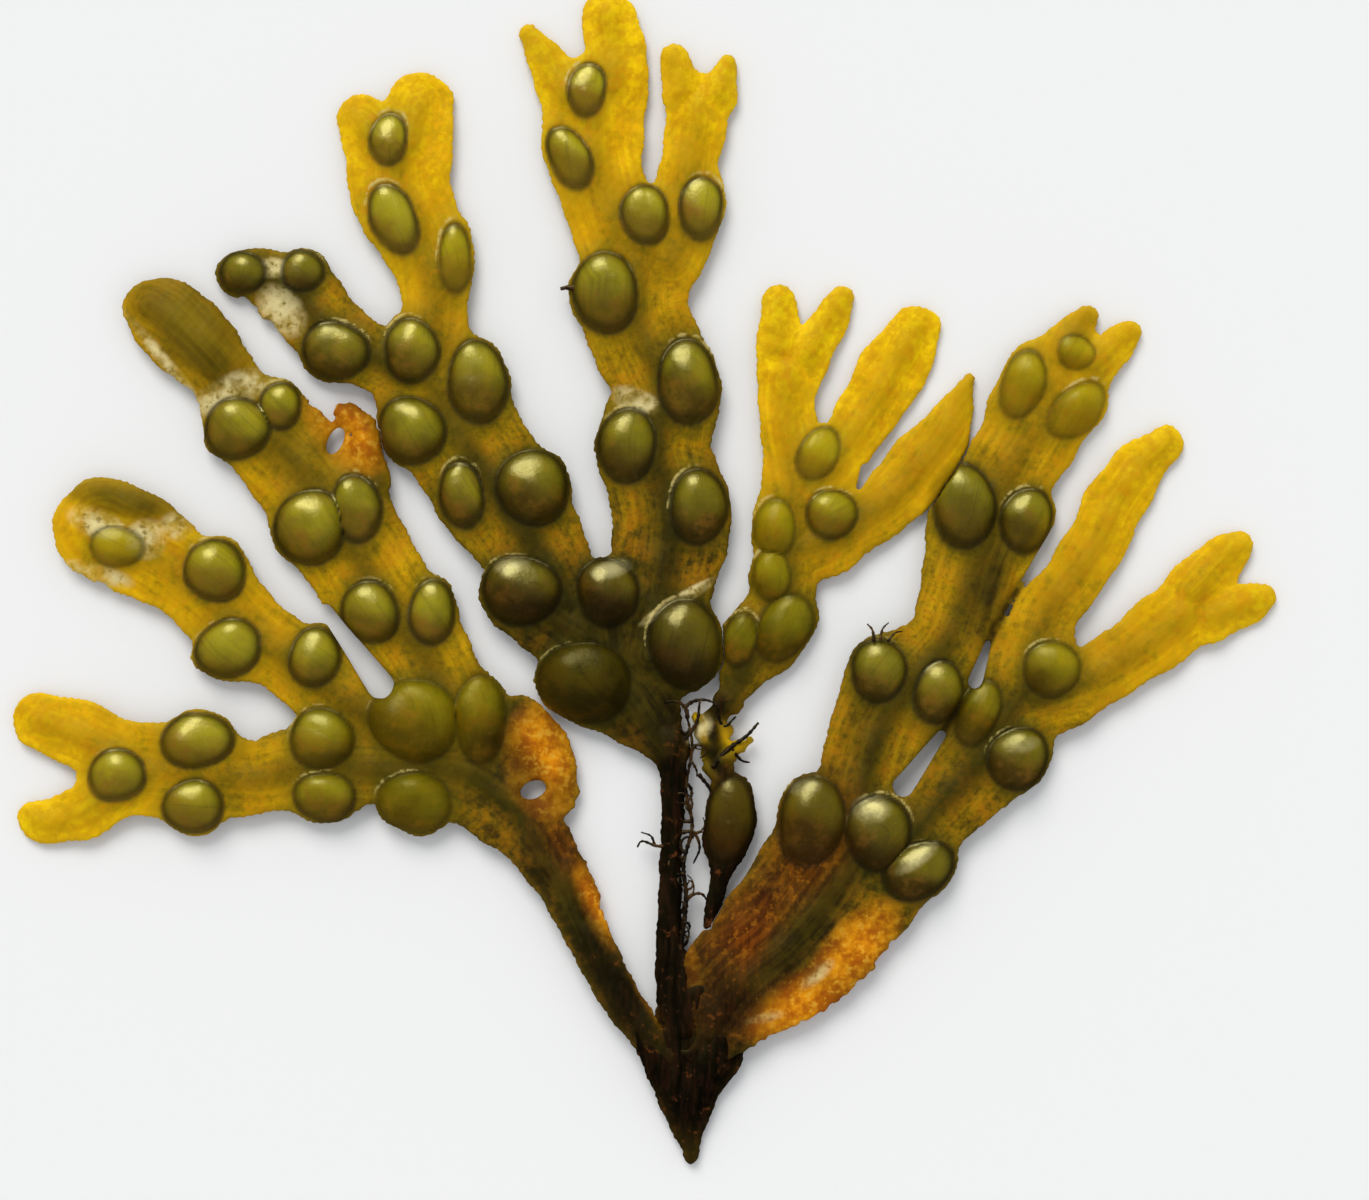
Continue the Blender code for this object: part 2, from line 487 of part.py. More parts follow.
def material_name(branch):
    if branch.name in DARK_BRANCHES:
        return "dark_stipe"
    if branch.name in BROWN_BRANCHES:
        return "brown_blade"
    if "tip" in branch.name or branch.name.startswith("small"):
        return "golden_blade"
    return "olive_blade"


def main():
    for item in list(bpy.data.objects):
        bpy.data.objects.remove(item, do_unlink=True)
    materials = {name: make_material(name) for name in MATERIALS}
    for branch in BRANCHES:
        make_branch(branch, materials[material_name(branch)])


main()
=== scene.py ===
import math
import random
from collections import namedtuple

import bpy
import numpy as np
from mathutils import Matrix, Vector


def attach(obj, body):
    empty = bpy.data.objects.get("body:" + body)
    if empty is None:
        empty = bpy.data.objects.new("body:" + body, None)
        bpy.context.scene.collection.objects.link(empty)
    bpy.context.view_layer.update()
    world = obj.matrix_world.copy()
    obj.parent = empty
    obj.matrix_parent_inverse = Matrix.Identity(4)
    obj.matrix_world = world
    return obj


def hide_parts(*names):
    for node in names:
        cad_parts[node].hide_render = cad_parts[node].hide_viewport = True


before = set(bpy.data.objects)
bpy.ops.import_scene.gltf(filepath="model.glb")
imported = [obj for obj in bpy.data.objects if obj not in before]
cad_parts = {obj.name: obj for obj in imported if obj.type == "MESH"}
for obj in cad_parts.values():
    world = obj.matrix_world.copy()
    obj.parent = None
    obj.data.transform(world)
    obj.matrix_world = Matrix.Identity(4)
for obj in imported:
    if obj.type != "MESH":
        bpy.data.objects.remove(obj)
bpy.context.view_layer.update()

MM = 0.001

# Driving dimensions, in millimetres
GRID_STEP = 0.36  # spacing of the fine surface
SNAP_SHARE = 0.3  # a grid point within this share of a step from the outline moves onto it
LEAST_SLOPE = 0.3  # keeps that move short where the outline's distance is flat
CURVE_STEP = 1.0  # spacing of the points along a ribbon
BOUNDS_MARGIN = 6.0
NEAR_MARGIN = 9.0  # points farther than this from a branch don't feel it
FAR = 50.0
BLADE_HALF = 0.42  # half thickness of the leafy blade
RIM_HALF = 0.12  # half thickness at the very edge
RIM_ROUND = 0.8  # distance over which the edge rounds off
RIB_HEIGHT = 0.55
RIB_WIDTH = 1.7
BLADDER_FLATNESS = 0.8
BLADDER_MARGIN = 0.5
BLADDER_FULLNESS = 2.1  # above 2 gives a bladder steeper sides and a flatter crown
DOME_POWER = 0.56
BLADDER_FILLET = 0.6  # rounding where the upper side of a bladder rises out of the blade
LOWER_FILLET = 2.4  # its lower side runs out smoothly
SWELLING_FLATNESS = 0.45  # soft swellings have no groove around them
CREASE_DEPTH = 0.16  # groove around a bladder
CREASE_WIDTH = 0.28
LIP_HEIGHT = 0.3  # how far the blade is drawn up beside a bladder
LIP_WIDTH = 1.2
STEM_FLATNESS = 0.62
BLEND = 1.4
FORK_BLEND = 0.8
EDGE_WAVE = 0.25
FINE_WAVE = 0.09
RAGGED_WAVE = 0.4  # torn edges
EDGE_DROP = 0.55  # how far the blade's edges droop below its midrib
UNDULATION = 0.3
STRAND_RELIEF = 0.14
VALLEY_DEPTH = 0.35  # between two bladders that touch
VALLEY_WIDTH = 0.35
LEATHER_RELIEF = 0.05
SLIT_TAPER = 0.55  # how much narrower a slit is at its second end
FOLD_DEPTH = 0.4
FOLD_WIDTH = 0.5
GLINT_FACING = 100.0  # side of a bladder, in degrees, where a painted highlight lies as a pale crescent on the blade, towards the light
GLINT_TURN = 40.0  # how much that side may differ between bladders
GLINT_PLACE = 0.5
GLINT_WIDTH = 0.3
RIB_BAND = 2.5  # width of the dark band along a midrib
MARGIN_BAND = 0.8  # and of the pale one along an edge
PLACE_REACH = 1.35  # how far a mark spreads, where 1 is the edge of its oval
PLACE_SOFTNESS = 0.7
PART_GAP = 0.15
TWIG_SIDES = 6
TWIG_STEP = 0.5
TWIG_TAPER = 0.6  # how much thinner a twig is at its end
TWIG_KNOTS = 0.25
FLOOR_DROP = 0.2
FLOOR_HALF = 3000.0

# The photograph's frame: its width and centre on the floor, in millimetres, and a long lens
PHOTO_WIDTH = 219.04
PHOTO_CENTRE = (6.16, -3.76)
FOCUS_HEIGHT = 4.0
LENS = 85.0
SENSOR = 36.0

# Soft light from the top left of the picture, and an even pale sky
KEY = {"direction": (-0.22, 0.66, 0.72), "strength": 1.75, "spread": 34.0, "tint": (1.0, 0.985, 0.95)}
# A wide lamp that only glossy surfaces reflect
SHEEN = {"direction": (-0.25, 0.88, 0.38), "strength": 5.2, "spread": 44.0, "tint": (1.0, 0.95, 0.55)}
SKY_COLOUR = (0.96, 0.98, 1.0, 1.0)
SKY_STRENGTH = 0.68
FLOOR_COLOUR = (0.84, 0.84, 0.84, 1.0)

# Plan position of the plant's bounding box centre in the tables' own frame
PLAN_CENTRE = (0.03, -0.23)

# A ribbon is (z at its start, z at its end, tone at its start, tone at its end, stations), and a station is
# (x, y, half width). Tone runs from 0, nearly black, through brown and olive to 1, bright gold.
# A bladder is (x, y, length, width, angle of its length in degrees).
Branch = namedtuple("Branch", "name ribbons bladders kind", defaults=((), "blade"))

# Branches that are too fine for a solid of their own
FINE_BRANCHES = ("holdfast_strands", "small_stem_scraps")

HOLDFAST = (
    Branch("holdfast", (
        (2.2, 1.2, 0.04, 0, ((8.2, -72.6, 7.3), (7.8, -75.4, 7.8), (7.3, -78, 6.8), (6.4, -81.4, 5),
        (6.2, -84.6, 3.7), (6.8, -88.6, 2.4), (7.3, -91, 1.4), (7.3, -93.4, 0.8))),
    )),
    Branch("holdfast_strands", (
        (3.6, 1.2, 0.04, 0, ((-3.4, -68.8, 1), (0, -73.6, 2.2), (3, -79, 2.9), (6.2, -87, 2),
        (7.3, -93.2, 0.7))),
        (3, 1.4, 0.04, 0, ((5.2, -59.6, 0.9), (5.6, -64, 1.8), (5.2, -71, 2.6), (4.8, -77, 3),
        (6.4, -85, 2.6), (7.2, -92, 0.9))),
        (3.4, 1.4, 0.04, 0, ((12.6, -71, 0.5), (11.6, -74, 2), (10, -77.6, 3.6), (8.4, -82, 3.4),
        (7.4, -90, 1.4))),
        (3.9, 2, 0.04, 0, ((8, -66.6, 0.8), (8.4, -72, 1.6), (8, -77, 2.4), (7.2, -84, 1.8))),
    ), (), "stem"),
)
LEFT = (
    Branch("left_stem", (
        (3.6, 3.6, 0.03, 0.14, ((2.9, -77, 2.2), (1.4, -75, 2.6), (-3.9, -67.8, 3.2), (-7.4, -61.4, 3.5),
        (-10.6, -55, 3.8), (-13.5, -48.6, 4.5), (-15.6, -45.4, 4.9))),
        (3.2, 2.2, 0.2, 0.3, ((-12.5, -47, 2.4), (-10, -50.5, 2), (-9.3, -54.4, 1.6))),
    )),
    Branch("left_frond_base", (
        (3.6, 3.4, 0.14, 0.4, ((-15.6, -45.4, 4.9), (-17.8, -41.6, 5.6), (-21.8, -36.6, 7.2),
        (-28.2, -31.8, 8), (-35.4, -30.2, 8))),
        (3, 2.2, 0.25, 0.45, ((-20.2, -23.3, 4.2), (-17.3, -28.6, 5.6), (-15.1, -34.2, 4.2))),
    ), ((-26.6, -22.7, 14.4, 8, 90), (-37, -23, 14.4, 12.8, 0), (-37, -36.1, 12, 9.3, 0))),
    Branch("left_frond_low", (
        (3.4, 3.2, 0.44, 0.74, ((-36, -31, 5), (-40, -31, 4.6), (-49, -30.7, 6.7), (-55.4, -30.7, 6.7),
        (-62.6, -32.3, 5.8), (-71.4, -31.5, 7.4), (-79.4, -31, 7.4), (-85, -30.4, 6.6))),
        (3.2, 1.6, 0.74, 0.84, ((-85.8, -27.8, 5.5), (-90.6, -25.4, 5.4), (-97.4, -23.3, 4.6))),
        (3.2, 1.4, 0.76, 0.94, ((-85, -33.9, 4.8), (-89.8, -37.7, 4.3), (-95.4, -39.3, 3.7),
        (-98.1, -39.2, 3))),
    ), ((-71.9, -26.2, 11.5, 8.8, 0), (-72.5, -36.8, 9.9, 8.5, 0), (-84.7, -31.8, 9.3, 8.3, 0),
        (-51.9, -25.9, 9.9, 9.9, 0), (-51.4, -35.3, 9.6, 8, 0))),
    Branch("left_frond_middle", (
        (3.4, 2.8, 0.52, 0.76, ((-38, -26, 4), (-41, -24.3, 4), (-48.2, -19.8, 5.4), (-53, -16.6, 6.1),
        (-58.1, -12.6, 6.1), (-64.2, -8.9, 7), (-69.8, -3, 7.3), (-74.9, 1, 6.8), (-81, 4.7, 8.2),
        (-87, 7.8, 8.2))),
    ), ((-84.8, 4.8, 8.8, 6.2, -8), (-69, 1, 9.9, 9.9, 0), (-66.9, -11.5, 11.2, 9, 15),
        (-53, -12.9, 9.6, 8, 90))),
    Branch("left_frond_high", (
        (3.4, 2.6, 0.54, 0.62, ((-31.4, -26, 6), (-31.4, -22.2, 7), (-34.6, -14.6, 7.6), (-38.6, -8.4, 8.4),
        (-43.4, -1.4, 8.6), (-48.7, 7.4, 9), (-53.5, 15.1, 9), (-59.9, 22.3, 8), (-65.5, 27.9, 6.2),
        (-68.5, 33, 5.4), (-72.3, 37.2, 6.5), (-76.3, 41.2, 6.4), (-79.6, 43.4, 4.3))),
        (2.8, 2.8, 0.5, 0.5, ((-48.2, 26.3, 1.8), (-45.5, 24.2, 2.2), (-44.4, 20.2, 2.2),
        (-42.9, 15.1, 2.2))),
    ), ((-65.5, 23.7, 10.6, 9.9, 0), (-58.6, 27.4, 7.7, 6.4, 90), (-53.8, 7.9, 11.8, 11.8, 0),
        (-46.3, 10.9, 11.2, 7.7, 100), (-44.2, -5.7, 9.9, 9.3, 90), (-34.3, -5.7, 10.4, 7.2, 90))),
)
MIDDLE = (
    Branch("middle_stem", (
        (2.6, 2.8, 0.03, 0.06, ((5.4, -73, 2.6), (4.1, -68.6, 2.2), (3.5, -58.2, 2), (4, -48.6, 1.8),
        (4.1, -39, 1.8), (4.4, -31.8, 2.2), (4, -27, 3.2))),
    ), (), "stem"),
    Branch("middle_frond_base", (
        (3, 3.6, 0.1, 0.16, ((4.1, -28, 2.4), (1.4, -24.6, 4.5), (-2.6, -19, 7.5), (-7.4, -13.4, 9),
        (-9, -6.2, 8))),
        (3.6, 3.6, 0.16, 0.22, ((-9.5, -9.5, 7.5), (-14.5, -6.5, 7.2), (-19, -3.5, 6.5))),
        (3.6, 3.6, 0.16, 0.22, ((0.6, -12.6, 8), (2.2, -6.2, 6.8))),
    ), ((-9.8, -16.9, 15.2, 12.5, -15), (6.2, -10.7, 14.4, 11.4, 90), (-20, -2.2, 12.3, 11.2, 0),
        (-6.1, -2.5, 10.8, 9.9, 90))),
    Branch("middle_frond_left", (
        (3.6, 3.2, 0.32, 0.6, ((-13, -4, 6.5), (-14.6, -0.6, 6.7), (-17.8, 5, 8.3), (-22.3, 11.4, 9.6),
        (-26.9, 18.3, 9.6), (-31.7, 25.8, 9.9), (-34.6, 31.7, 9.2), (-35.4, 36.2, 7))),
    ), ((-26.9, 31.1, 13.8, 9.3, 95), (-37.5, 23.4, 10.9, 10.6, 0), (-29.5, 13, 10.2, 7.2, 100),
        (-18.1, 14.3, 11.8, 11.8, 0), (-37.5, 36.2, 10.2, 8.8, 90))),
    Branch("middle_frond_left_tip_low", (
        (3.2, 2, 0.5, 0.42, ((-38, 32.5, 5.4), (-41.8, 34.3, 5.4), (-46.1, 36.5, 5.4), (-51.4, 40.2, 5.9),
        (-55.4, 44.5, 6.4), (-60.2, 47.7, 4.8), (-63.1, 48.8, 3.3))),
    ), ((-64.8, 48.8, 7.4, 6.7, 0), (-55.1, 49, 7, 6.4, 0), (-49.8, 36.2, 10.9, 9, 0))),
    Branch("middle_frond_left_tip_high", (
        (3.2, 2.6, 0.58, 0.84, ((-34, 34, 5.3), (-34, 38.2, 5.3), (-34, 46.6, 5.4), (-36.2, 54.3, 6.7),
        (-39.4, 61.8, 8), (-39.9, 68.2, 8.3))),
        (2.6, 1.4, 0.82, 0.86, ((-42.9, 69.8, 5.8), (-45.7, 73.3, 4.2))),
        (2.6, 1.4, 0.84, 0.88, ((-37.5, 69.8, 6.6), (-36.3, 75.7, 5.4))),
    ), ((-41.3, 70.1, 8.3, 6.1, 90), (-40.5, 57.3, 12, 7.2, 115), (-30.6, 50.9, 10.6, 5.1, 90))),
    Branch("middle_frond_up", (
        (3.6, 3, 0.28, 0.64, ((1.6, -7, 7), (2.2, -3.8, 7.4), (3, 1, 8.6), (4, 7.4, 9.3), (3.5, 13, 9.3),
        (1.6, 19.4, 9), (2.2, 25, 8.8), (3.3, 30.1, 7.8), (0.6, 36.2, 8.6), (-1.8, 42.6, 8.6),
        (-1.6, 48.2, 8.8), (-1, 53, 8))),
    ), ((-6.6, 45.5, 13.1, 10.4, 90), (6.7, 31.1, 13.4, 9.6, 90), (-3.1, 21, 11.8, 9.3, 90),
        (8.4, 11.2, 11.6, 9.3, 90), (-0.2, 58, 9.6, 7.7, 90))),
    Branch("middle_frond_up_tip_left", (
        (3, 2.6, 0.66, 0.86, ((-3.6, 52, 7), (-5, 56.2, 7), (-6.6, 61, 7), (-8, 66.6, 7.4), (-8.4, 72.2, 8),
        (-8.4, 76.5, 7.6))),
        (2.4, 1.2, 0.86, 0.92, ((-12.8, 77.5, 4.6), (-15.8, 82.4, 3.2), (-19, 87.2, 1.6))),
        (2.6, 1.6, 0.88, 0.96, ((-5.5, 78.6, 6.1), (-5, 84.2, 5.1), (-6, 89.6, 4.4))),
    ), ((-12.2, 67.1, 10.2, 6.6, 115), (-9.5, 78.1, 8.6, 6.1, 90))),
    Branch("middle_frond_up_tip_right", (
        (3, 2.4, 0.64, 0.88, ((4, 50.4, 5.1), (5.4, 54.4, 5.1), (6.4, 61, 5.3), (7, 66.6, 4.5),
        (8, 72.2, 5.1), (8.3, 75.9, 5.2))),
        (2.4, 1.4, 0.9, 0.92, ((5.9, 78.1, 3.5), (4.6, 83.6, 2.2))),
        (2.4, 1.2, 0.9, 0.94, ((11.6, 77.5, 3), (13.1, 82.7, 1.3))),
    ), ((8.8, 59.1, 9.9, 7, 90),)),
)
SMALL = (
    Branch("small_stem", (
        (2.6, 3, 0.12, 0.25, ((9.8, -56, 0.8), (10.8, -52, 1.3), (11.9, -48.6, 1.4), (13.1, -43.8, 2.2),
        (13.4, -38.2, 3), (12.1, -31.8, 1.6), (10.5, -27, 1.4), (11.2, -22.2, 1.5), (13, -19.6, 1.6))),
    ), ((13.4, -39, 13.8, 7.4, 80),), "stem"),
    Branch("small_stem_scraps", (
        (3.4, 3, 0.5, 0.85, ((10.8, -22.6, 0.8), (12.2, -24.4, 1.3), (13.4, -26.6, 0.9),
        (14.8, -27.2, 0.5))),
        (3.2, 2.8, 0.6, 0.9, ((10.8, -27.4, 0.8), (9.2, -25.2, 1.2), (8.2, -22.6, 0.6))),
        (3.2, 2.6, 0.5, 0.7, ((11.4, -29.4, 0.8), (13.6, -28.6, 1.1), (16.4, -26.2, 0.6))),
        (3, 2.6, 0.35, 0.6, ((12.6, -33, 0.9), (10.4, -31.4, 0.9), (8.8, -28.8, 0.5))),
    )),
    Branch("small_frond", (
        (3, 2.6, 0.3, 0.9, ((13, -20.5, 2.2), (14.2, -18, 2.6), (16.3, -13.4, 4.6), (19.5, -8.9, 6.1),
        (22, -3.8, 4.9), (22.7, 1, 5.1), (23.5, 5.8, 6.1), (24.6, 11.4, 6.4), (24.1, 17.8, 5.4),
        (23, 23.4, 4.8), (22.5, 28.2, 4.5), (23, 32.7, 5.1))),
        (2.6, 1.4, 0.9, 0.98, ((21.2, 37, 3.6), (21.4, 43.9, 2.9))),
        (2.6, 1.3, 0.9, 0.98, ((25.9, 35.2, 3.8), (29.1, 40.5, 3), (31.6, 44.8, 2))),
    ), ((22.2, -8.1, 11.2, 8.3, 60), (15, -10.2, 8.3, 5.4, 80), (20.6, 7.7, 9, 6.7, 90),
        (20.1, 0.2, 8, 6.1, 90), (27.6, 19.7, 8.6, 6.4, 60))),
    Branch("small_frond_tip_middle", (
        (2.8, 1.4, 0.72, 1, ((25.2, 12, 5.4), (27.5, 15.4, 5.8), (32.6, 21.8, 4.5), (36.3, 27.7, 5.1),
        (40.3, 34.3, 5.4), (43.5, 39.7, 4))),
    )),
    Branch("small_frond_tip_low", (
        (2.8, 1.2, 0.6, 0.78, ((24.6, 4.8, 5.8), (28.1, 5.8, 6.1), (34.2, 9, 5.1), (39.8, 13, 5.3),
        (44.6, 18.6, 5.1), (48.6, 24.2, 3.8), (51.9, 31.8, 0.8))),
    ), ((29.7, 10, 8, 8, 0),)),
)
RIGHT = (
    Branch("right_frond_base", (
        (4, 3.8, 0.1, 0.3, ((10, -73, 5.5), (11.7, -69.8, 7.3), (15.4, -65, 9.9), (22.8, -58.8, 12.1),
        (28.6, -51.8, 12.8), (32.9, -45.7, 13.4), (36.6, -41.4, 13.4))),
    ), ((26.5, -39, 14.1, 10.6, 75), (37.1, -40.9, 12.2, 10.2, 80), (43.5, -47, 12.2, 8.6, 30))),
    Branch("right_frond_inner", (
        (3.8, 3.4, 0.38, 0.56, ((33, -40, 7.4), (33.9, -36.6, 7.4), (35.5, -30.7, 7.4), (37.7, -24.6, 8.3),
        (41.4, -18.2, 9), (47.8, -11, 6.5), (50.4, -5.1, 6.9), (52.3, 1, 8), (54.7, 8.2, 9.6),
        (56.1, 13.8, 8.6))),
    ), ((37.2, -15, 10.2, 8.6, 80), (46.8, -18.5, 9.9, 8, 80), (50.9, 11.3, 13.2, 10, 90),
        (60.9, 9, 10.6, 8.3, 80))),
    Branch("right_frond_inner_tip", (
        (3.4, 2.8, 0.56, 0.74, ((56.8, 12.8, 7.4), (57.6, 15.7, 7.4), (60.6, 21, 7.7), (63.3, 26.3, 8.3),
        (65.9, 31.4, 7.4))),
        (2.8, 1.3, 0.72, 0.7, ((67, 35.7, 4.6), (70.8, 41.8, 2))),
        (2.8, 1.2, 0.8, 0.92, ((71.6, 33.6, 3.8), (75.8, 37.5, 2.9), (77.9, 39.4, 1.8))),
    ), ((60.4, 30.8, 11.2, 6.7, 75), (69, 26.6, 11.2, 6.8, 42), (68.9, 36, 5.8, 5.4, 0))),
    Branch("right_frond_outer", (
        (3.8, 3.4, 0.34, 0.46, ((38.6, -46, 7.4), (41.4, -43, 7.4), (46.2, -37.1, 7), (51, -32.1, 7.8),
        (55.5, -26.5, 8.6), (59, -20.9, 8.3), (63, -15.8, 7.7))),
    ), ((59.5, -29.1, 9.9, 9.9, 0), (53.1, -21.7, 10.6, 6.7, 70), (64.9, -14.8, 9.3, 8.6, 0))),
    Branch("right_frond_outer_tip_up", (
        (3.4, 1.4, 0.56, 0.94, ((61.4, -14.8, 6.6), (62.2, -11.8, 6.6), (64.2, -6.1, 5.2),
        (68.7, -0.1, 4.8), (72.5, 5.8, 4.9), (75.5, 12, 4.9), (79.3, 17.5, 4.2), (83.8, 21.6, 2.6))),
    )),
    Branch("right_frond_outer_tip_side", (
        (3.4, 2.2, 0.5, 0.78, ((61.6, -19.6, 7.2), (64.9, -18.5, 7), (71, -16.5, 5.5), (77.4, -12.7, 5.2),
        (83, -8.6, 5.9), (86.7, -5.7, 5.6))),
        (2.2, 1.3, 0.8, 0.94, ((87.8, -2.5, 4.8), (92.3, 2.3, 3.8), (95.7, 5.3, 2.1))),
        (2.2, 1.2, 0.8, 0.96, ((91, -6.4, 4), (96.6, -4.4, 3.2), (99.5, -3.3, 2.1))),
    )),
)

# A slit is (x and y of one end, x and y of the other end, half width), open between two fronds that cross
SLITS = (
    (41.2, -33.6, 47.3, -25.4, 1.7), (52.8, -16.8, 54.8, -10.8, 1.2), (65.8, 7.8, 60.4, -0.8, 0.55),
    (-42.6, -17.4, -51.4, -5.4, 2.2), (35.4, 17.2, 34.2, 14.4, 1),
)
# Where the two right fronds touch beyond the slits, as fold lines with a half width
FOLDS = (
    (47.3, -25.4, 52.8, -16.8, 0.3), (54.8, -10.8, 57.6, -5.4, 0.3), (57.6, -5.4, 60.4, -0.8, 0.3),
)
# A soft swelling without a groove is (x, y, length, width, angle)
SWELLINGS = (
    (-71.8, 39.2, 21, 11, -46), (-83.4, 12.4, 21, 5.6, -14),
)
# Torn edges are (x, y, length, width, angle, strength)
RAGGED_PLACES = (
    (-11, -50, 14, 7, 110, 1), (-12.6, -37.5, 8, 6, 100, 0.8), (-67.5, 30.5, 10, 8, 40, 0.8),
    (-60.5, 43, 12, 8, -45, 0.8), (-88, 0, 16, 8, -10, 0.6), (-49, 26, 12, 8, -20, 0.8),
    (30, -66, 26, 8, 35, 0.9), (12, -26, 12, 14, 0, 1),
)
# A hole torn through the blade is (x, y, length, width, angle)
HOLES = (
    (-18.1, -34.2, 4.2, 2.8, 20), (-49.9, 21.8, 4.6, 2.4, 65),
)
# Places with a look of their own, by the mark that the material reads, in the same form as torn edges
PLACES = {
    "worn": (
        (-16.8, -29.5, 15, 10, 100, 1), (-48.5, 23.5, 14, 8, 130, 1), (26, -68, 18, 8, 32, 0.9),
        (33, -60.5, 17, 8, 50, 0.9), (-8.2, -53, 12, 3.6, 112, 0.9), (0.4, -67.6, 10, 2, 122, 0.8),
        (7.4, -64, 9, 2.4, 95, 0.7),
    ),
    "brown": (
        (14.5, -60, 24, 12, 55, 1), (17, -68, 14, 8, 30, 0.8), (-13, -44, 16, 8, 120, 0.6),
        (13.4, -38, 14, 8, 80, 0.6), (26, -43.5, 24, 13, 70, 0.8), (-46, 24, 14, 8, 130, 0.4),
    ),
    "pale": (
        (-58.6, 42.6, 8, 6, 130, 0.8), (-60.2, 49.6, 6, 3, 0, 1), (-66.4, 29.6, 12, 4.6, 25, 0.9),
        (-77.4, 34.8, 20, 1.8, 130, 0.7), (-88.2, 8.6, 8, 4, -20, 0.9), (-80, 6, 5.5, 5.5, 30, 0.9),
        (-75.4, 8, 4.5, 4, 0, 0.7), (-88, 0.4, 10, 3, -15, 0.8), (-1.8, 28.2, 7, 3.4, 160, 0.9),
        (5.3, -3.9, 12, 1.8, 31, 1.2), (27.4, -63.6, 6, 2.2, 40, 0.5), (19, -70.6, 6, 1.6, 12, 0.4),
        (8.6, -24.6, 5, 3, 60, 0.8),
    ),
    "cap": (  # painted highlight, a pale film-like patch on the upper edge of a few bladders
        (-21.4, 1.7, 4.8, 2.2, 8, 0.9), (-5.4, 1.2, 5, 2.4, 15, 0.9), (25.4, -33.6, 4.4, 2, 10, 0.6),
        (36, -37, 5, 3.6, 0, 0.7), (43.3, -44.9, 6.4, 2, 35, 0.9), (60.2, -26.8, 4.4, 2, 10, 0.5),
    ),
    "dark": (
        (24, -58, 36, 6.5, 50, 1), (10, -64, 12, 10, 0, 0.7), (-4, -12, 28, 18, 120, 0.9),
        (-14, -6, 20, 12, 20, 0.6), (2, -21, 12, 8, 90, 0.9), (55.2, -1.5, 17, 5.5, 75, 1.1),
        (56, -6, 12, 2.4, 65, 0.8), (-22, -30, 18, 8, 130, 0.7), (5, 36, 12, 5, 90, 0.5),
        (48, -24, 14, 5, 60, 0.5), (-10.4, -55.4, 34, 4.6, 119, 0.9), (50.9, 11.3, 12, 9, 90, 1.2),
        (60.9, 9, 9, 7.5, 80, 0.9), (2.2, 6, 26, 6, 95, 0.6), (-20.5, 8.5, 24, 5, 122, 0.5),
        (35, -24, 16, 6, 80, 0.6), (-6.6, 45.5, 10, 8, 90, 0.7),
    ),
    "olive": (
        (-71.8, 39.6, 24, 13, -46, 1), (-83.4, 12.4, 22, 6, -14, 1), (-37, -29, 22, 22, 0, 0.5),
        (-55, 19, 19, 12, 130, 0.55),
    ),
    "dull": (  # bladders that are dull instead of glossy
        (-37, -22.8, 20, 17, 0, 1.2), (-37, -36.1, 17, 14, 0, 1.2), (-26.6, -22.7, 20, 11, 90, 1.2),
        (-51.6, -30.6, 14, 22, 0, 0.6), (-9.8, -16.9, 20, 17, -15, 1.1), (19, -9, 20, 16, 60, 0.9),
        (20.6, 4, 24, 11, 90, 1), (27.6, 19.7, 12, 9, 60, 0.8), (29.7, 10, 11, 11, 0, 0.5),
        (64.9, -14.8, 13, 12, 0, 0.8), (53.1, -21.7, 14, 9, 70, 0.8), (13.4, -39, 17, 10, 80, 0.7),
        (68.9, 36, 9, 9, 0, 1), (69, 26.6, 15, 11, 42, 1.1), (60.4, 30.8, 14, 10, 75, 0.9),
        (-84.8, 4.8, 12, 10, -8, 0.8), (26.5, -39, 18, 14, 75, 0.5), (-30.6, 50.9, 14, 8, 90, 0.6),
    ),
    "bark": (
        (7.4, -82, 26, 16, 90, 1), (5.4, -71, 18, 7, 90, 1), (-3.6, -67, 26, 6, 120, 0.9),
        (12, -69.6, 13, 9, 50, 0.8), (5, -26, 12, 5, 100, 0.8),
    ),
}


def smooth_min(a, b, roundness):
    """The smaller of two distances, rounded where they are alike."""
    blend = np.maximum(roundness - np.abs(a - b), 0) / roundness
    return np.minimum(a, b) - blend * blend * roundness * 0.25


def peak(distance):
    """1 in the middle, and smoothly less on both sides."""
    return np.exp(-distance ** 2)


def spline(stations, step):
    """Points of a smooth curve through the stations, about one step apart."""
    rows = np.array(stations, dtype=float)
    ends = np.vstack([2 * rows[0] - rows[1], rows, 2 * rows[-1] - rows[-2]])
    points = []
    for index in range(len(rows) - 1):
        before, start, end, after = ends[index:index + 4]
        count = max(1, math.ceil(math.dist(start[:2], end[:2]) / step))
        for part in range(count):
            t = part / count
            points.append(0.5 * (2 * start + (end - before) * t
                                 + (2 * before - 5 * start + 4 * end - after) * t ** 2
                                 + (3 * start - before - 3 * end + after) * t ** 3))
    points.append(rows[-1])
    return np.array(points)


def ribbon_rows(ribbon):
    """Stations of a ribbon as rows of x, y, half width, z and tone."""
    z_start, z_end, tone_start, tone_end, stations = ribbon
    points = spline(stations, CURVE_STEP)
    lengths = np.hypot(*np.diff(points[:, :2], axis=0).T)
    travelled = np.concatenate([[0], np.cumsum(lengths)])
    share = travelled / travelled[-1]
    z_values = z_start + (z_end - z_start) * share
    tones = tone_start + (tone_end - tone_start) * share
    return np.column_stack([points, z_values, tones])


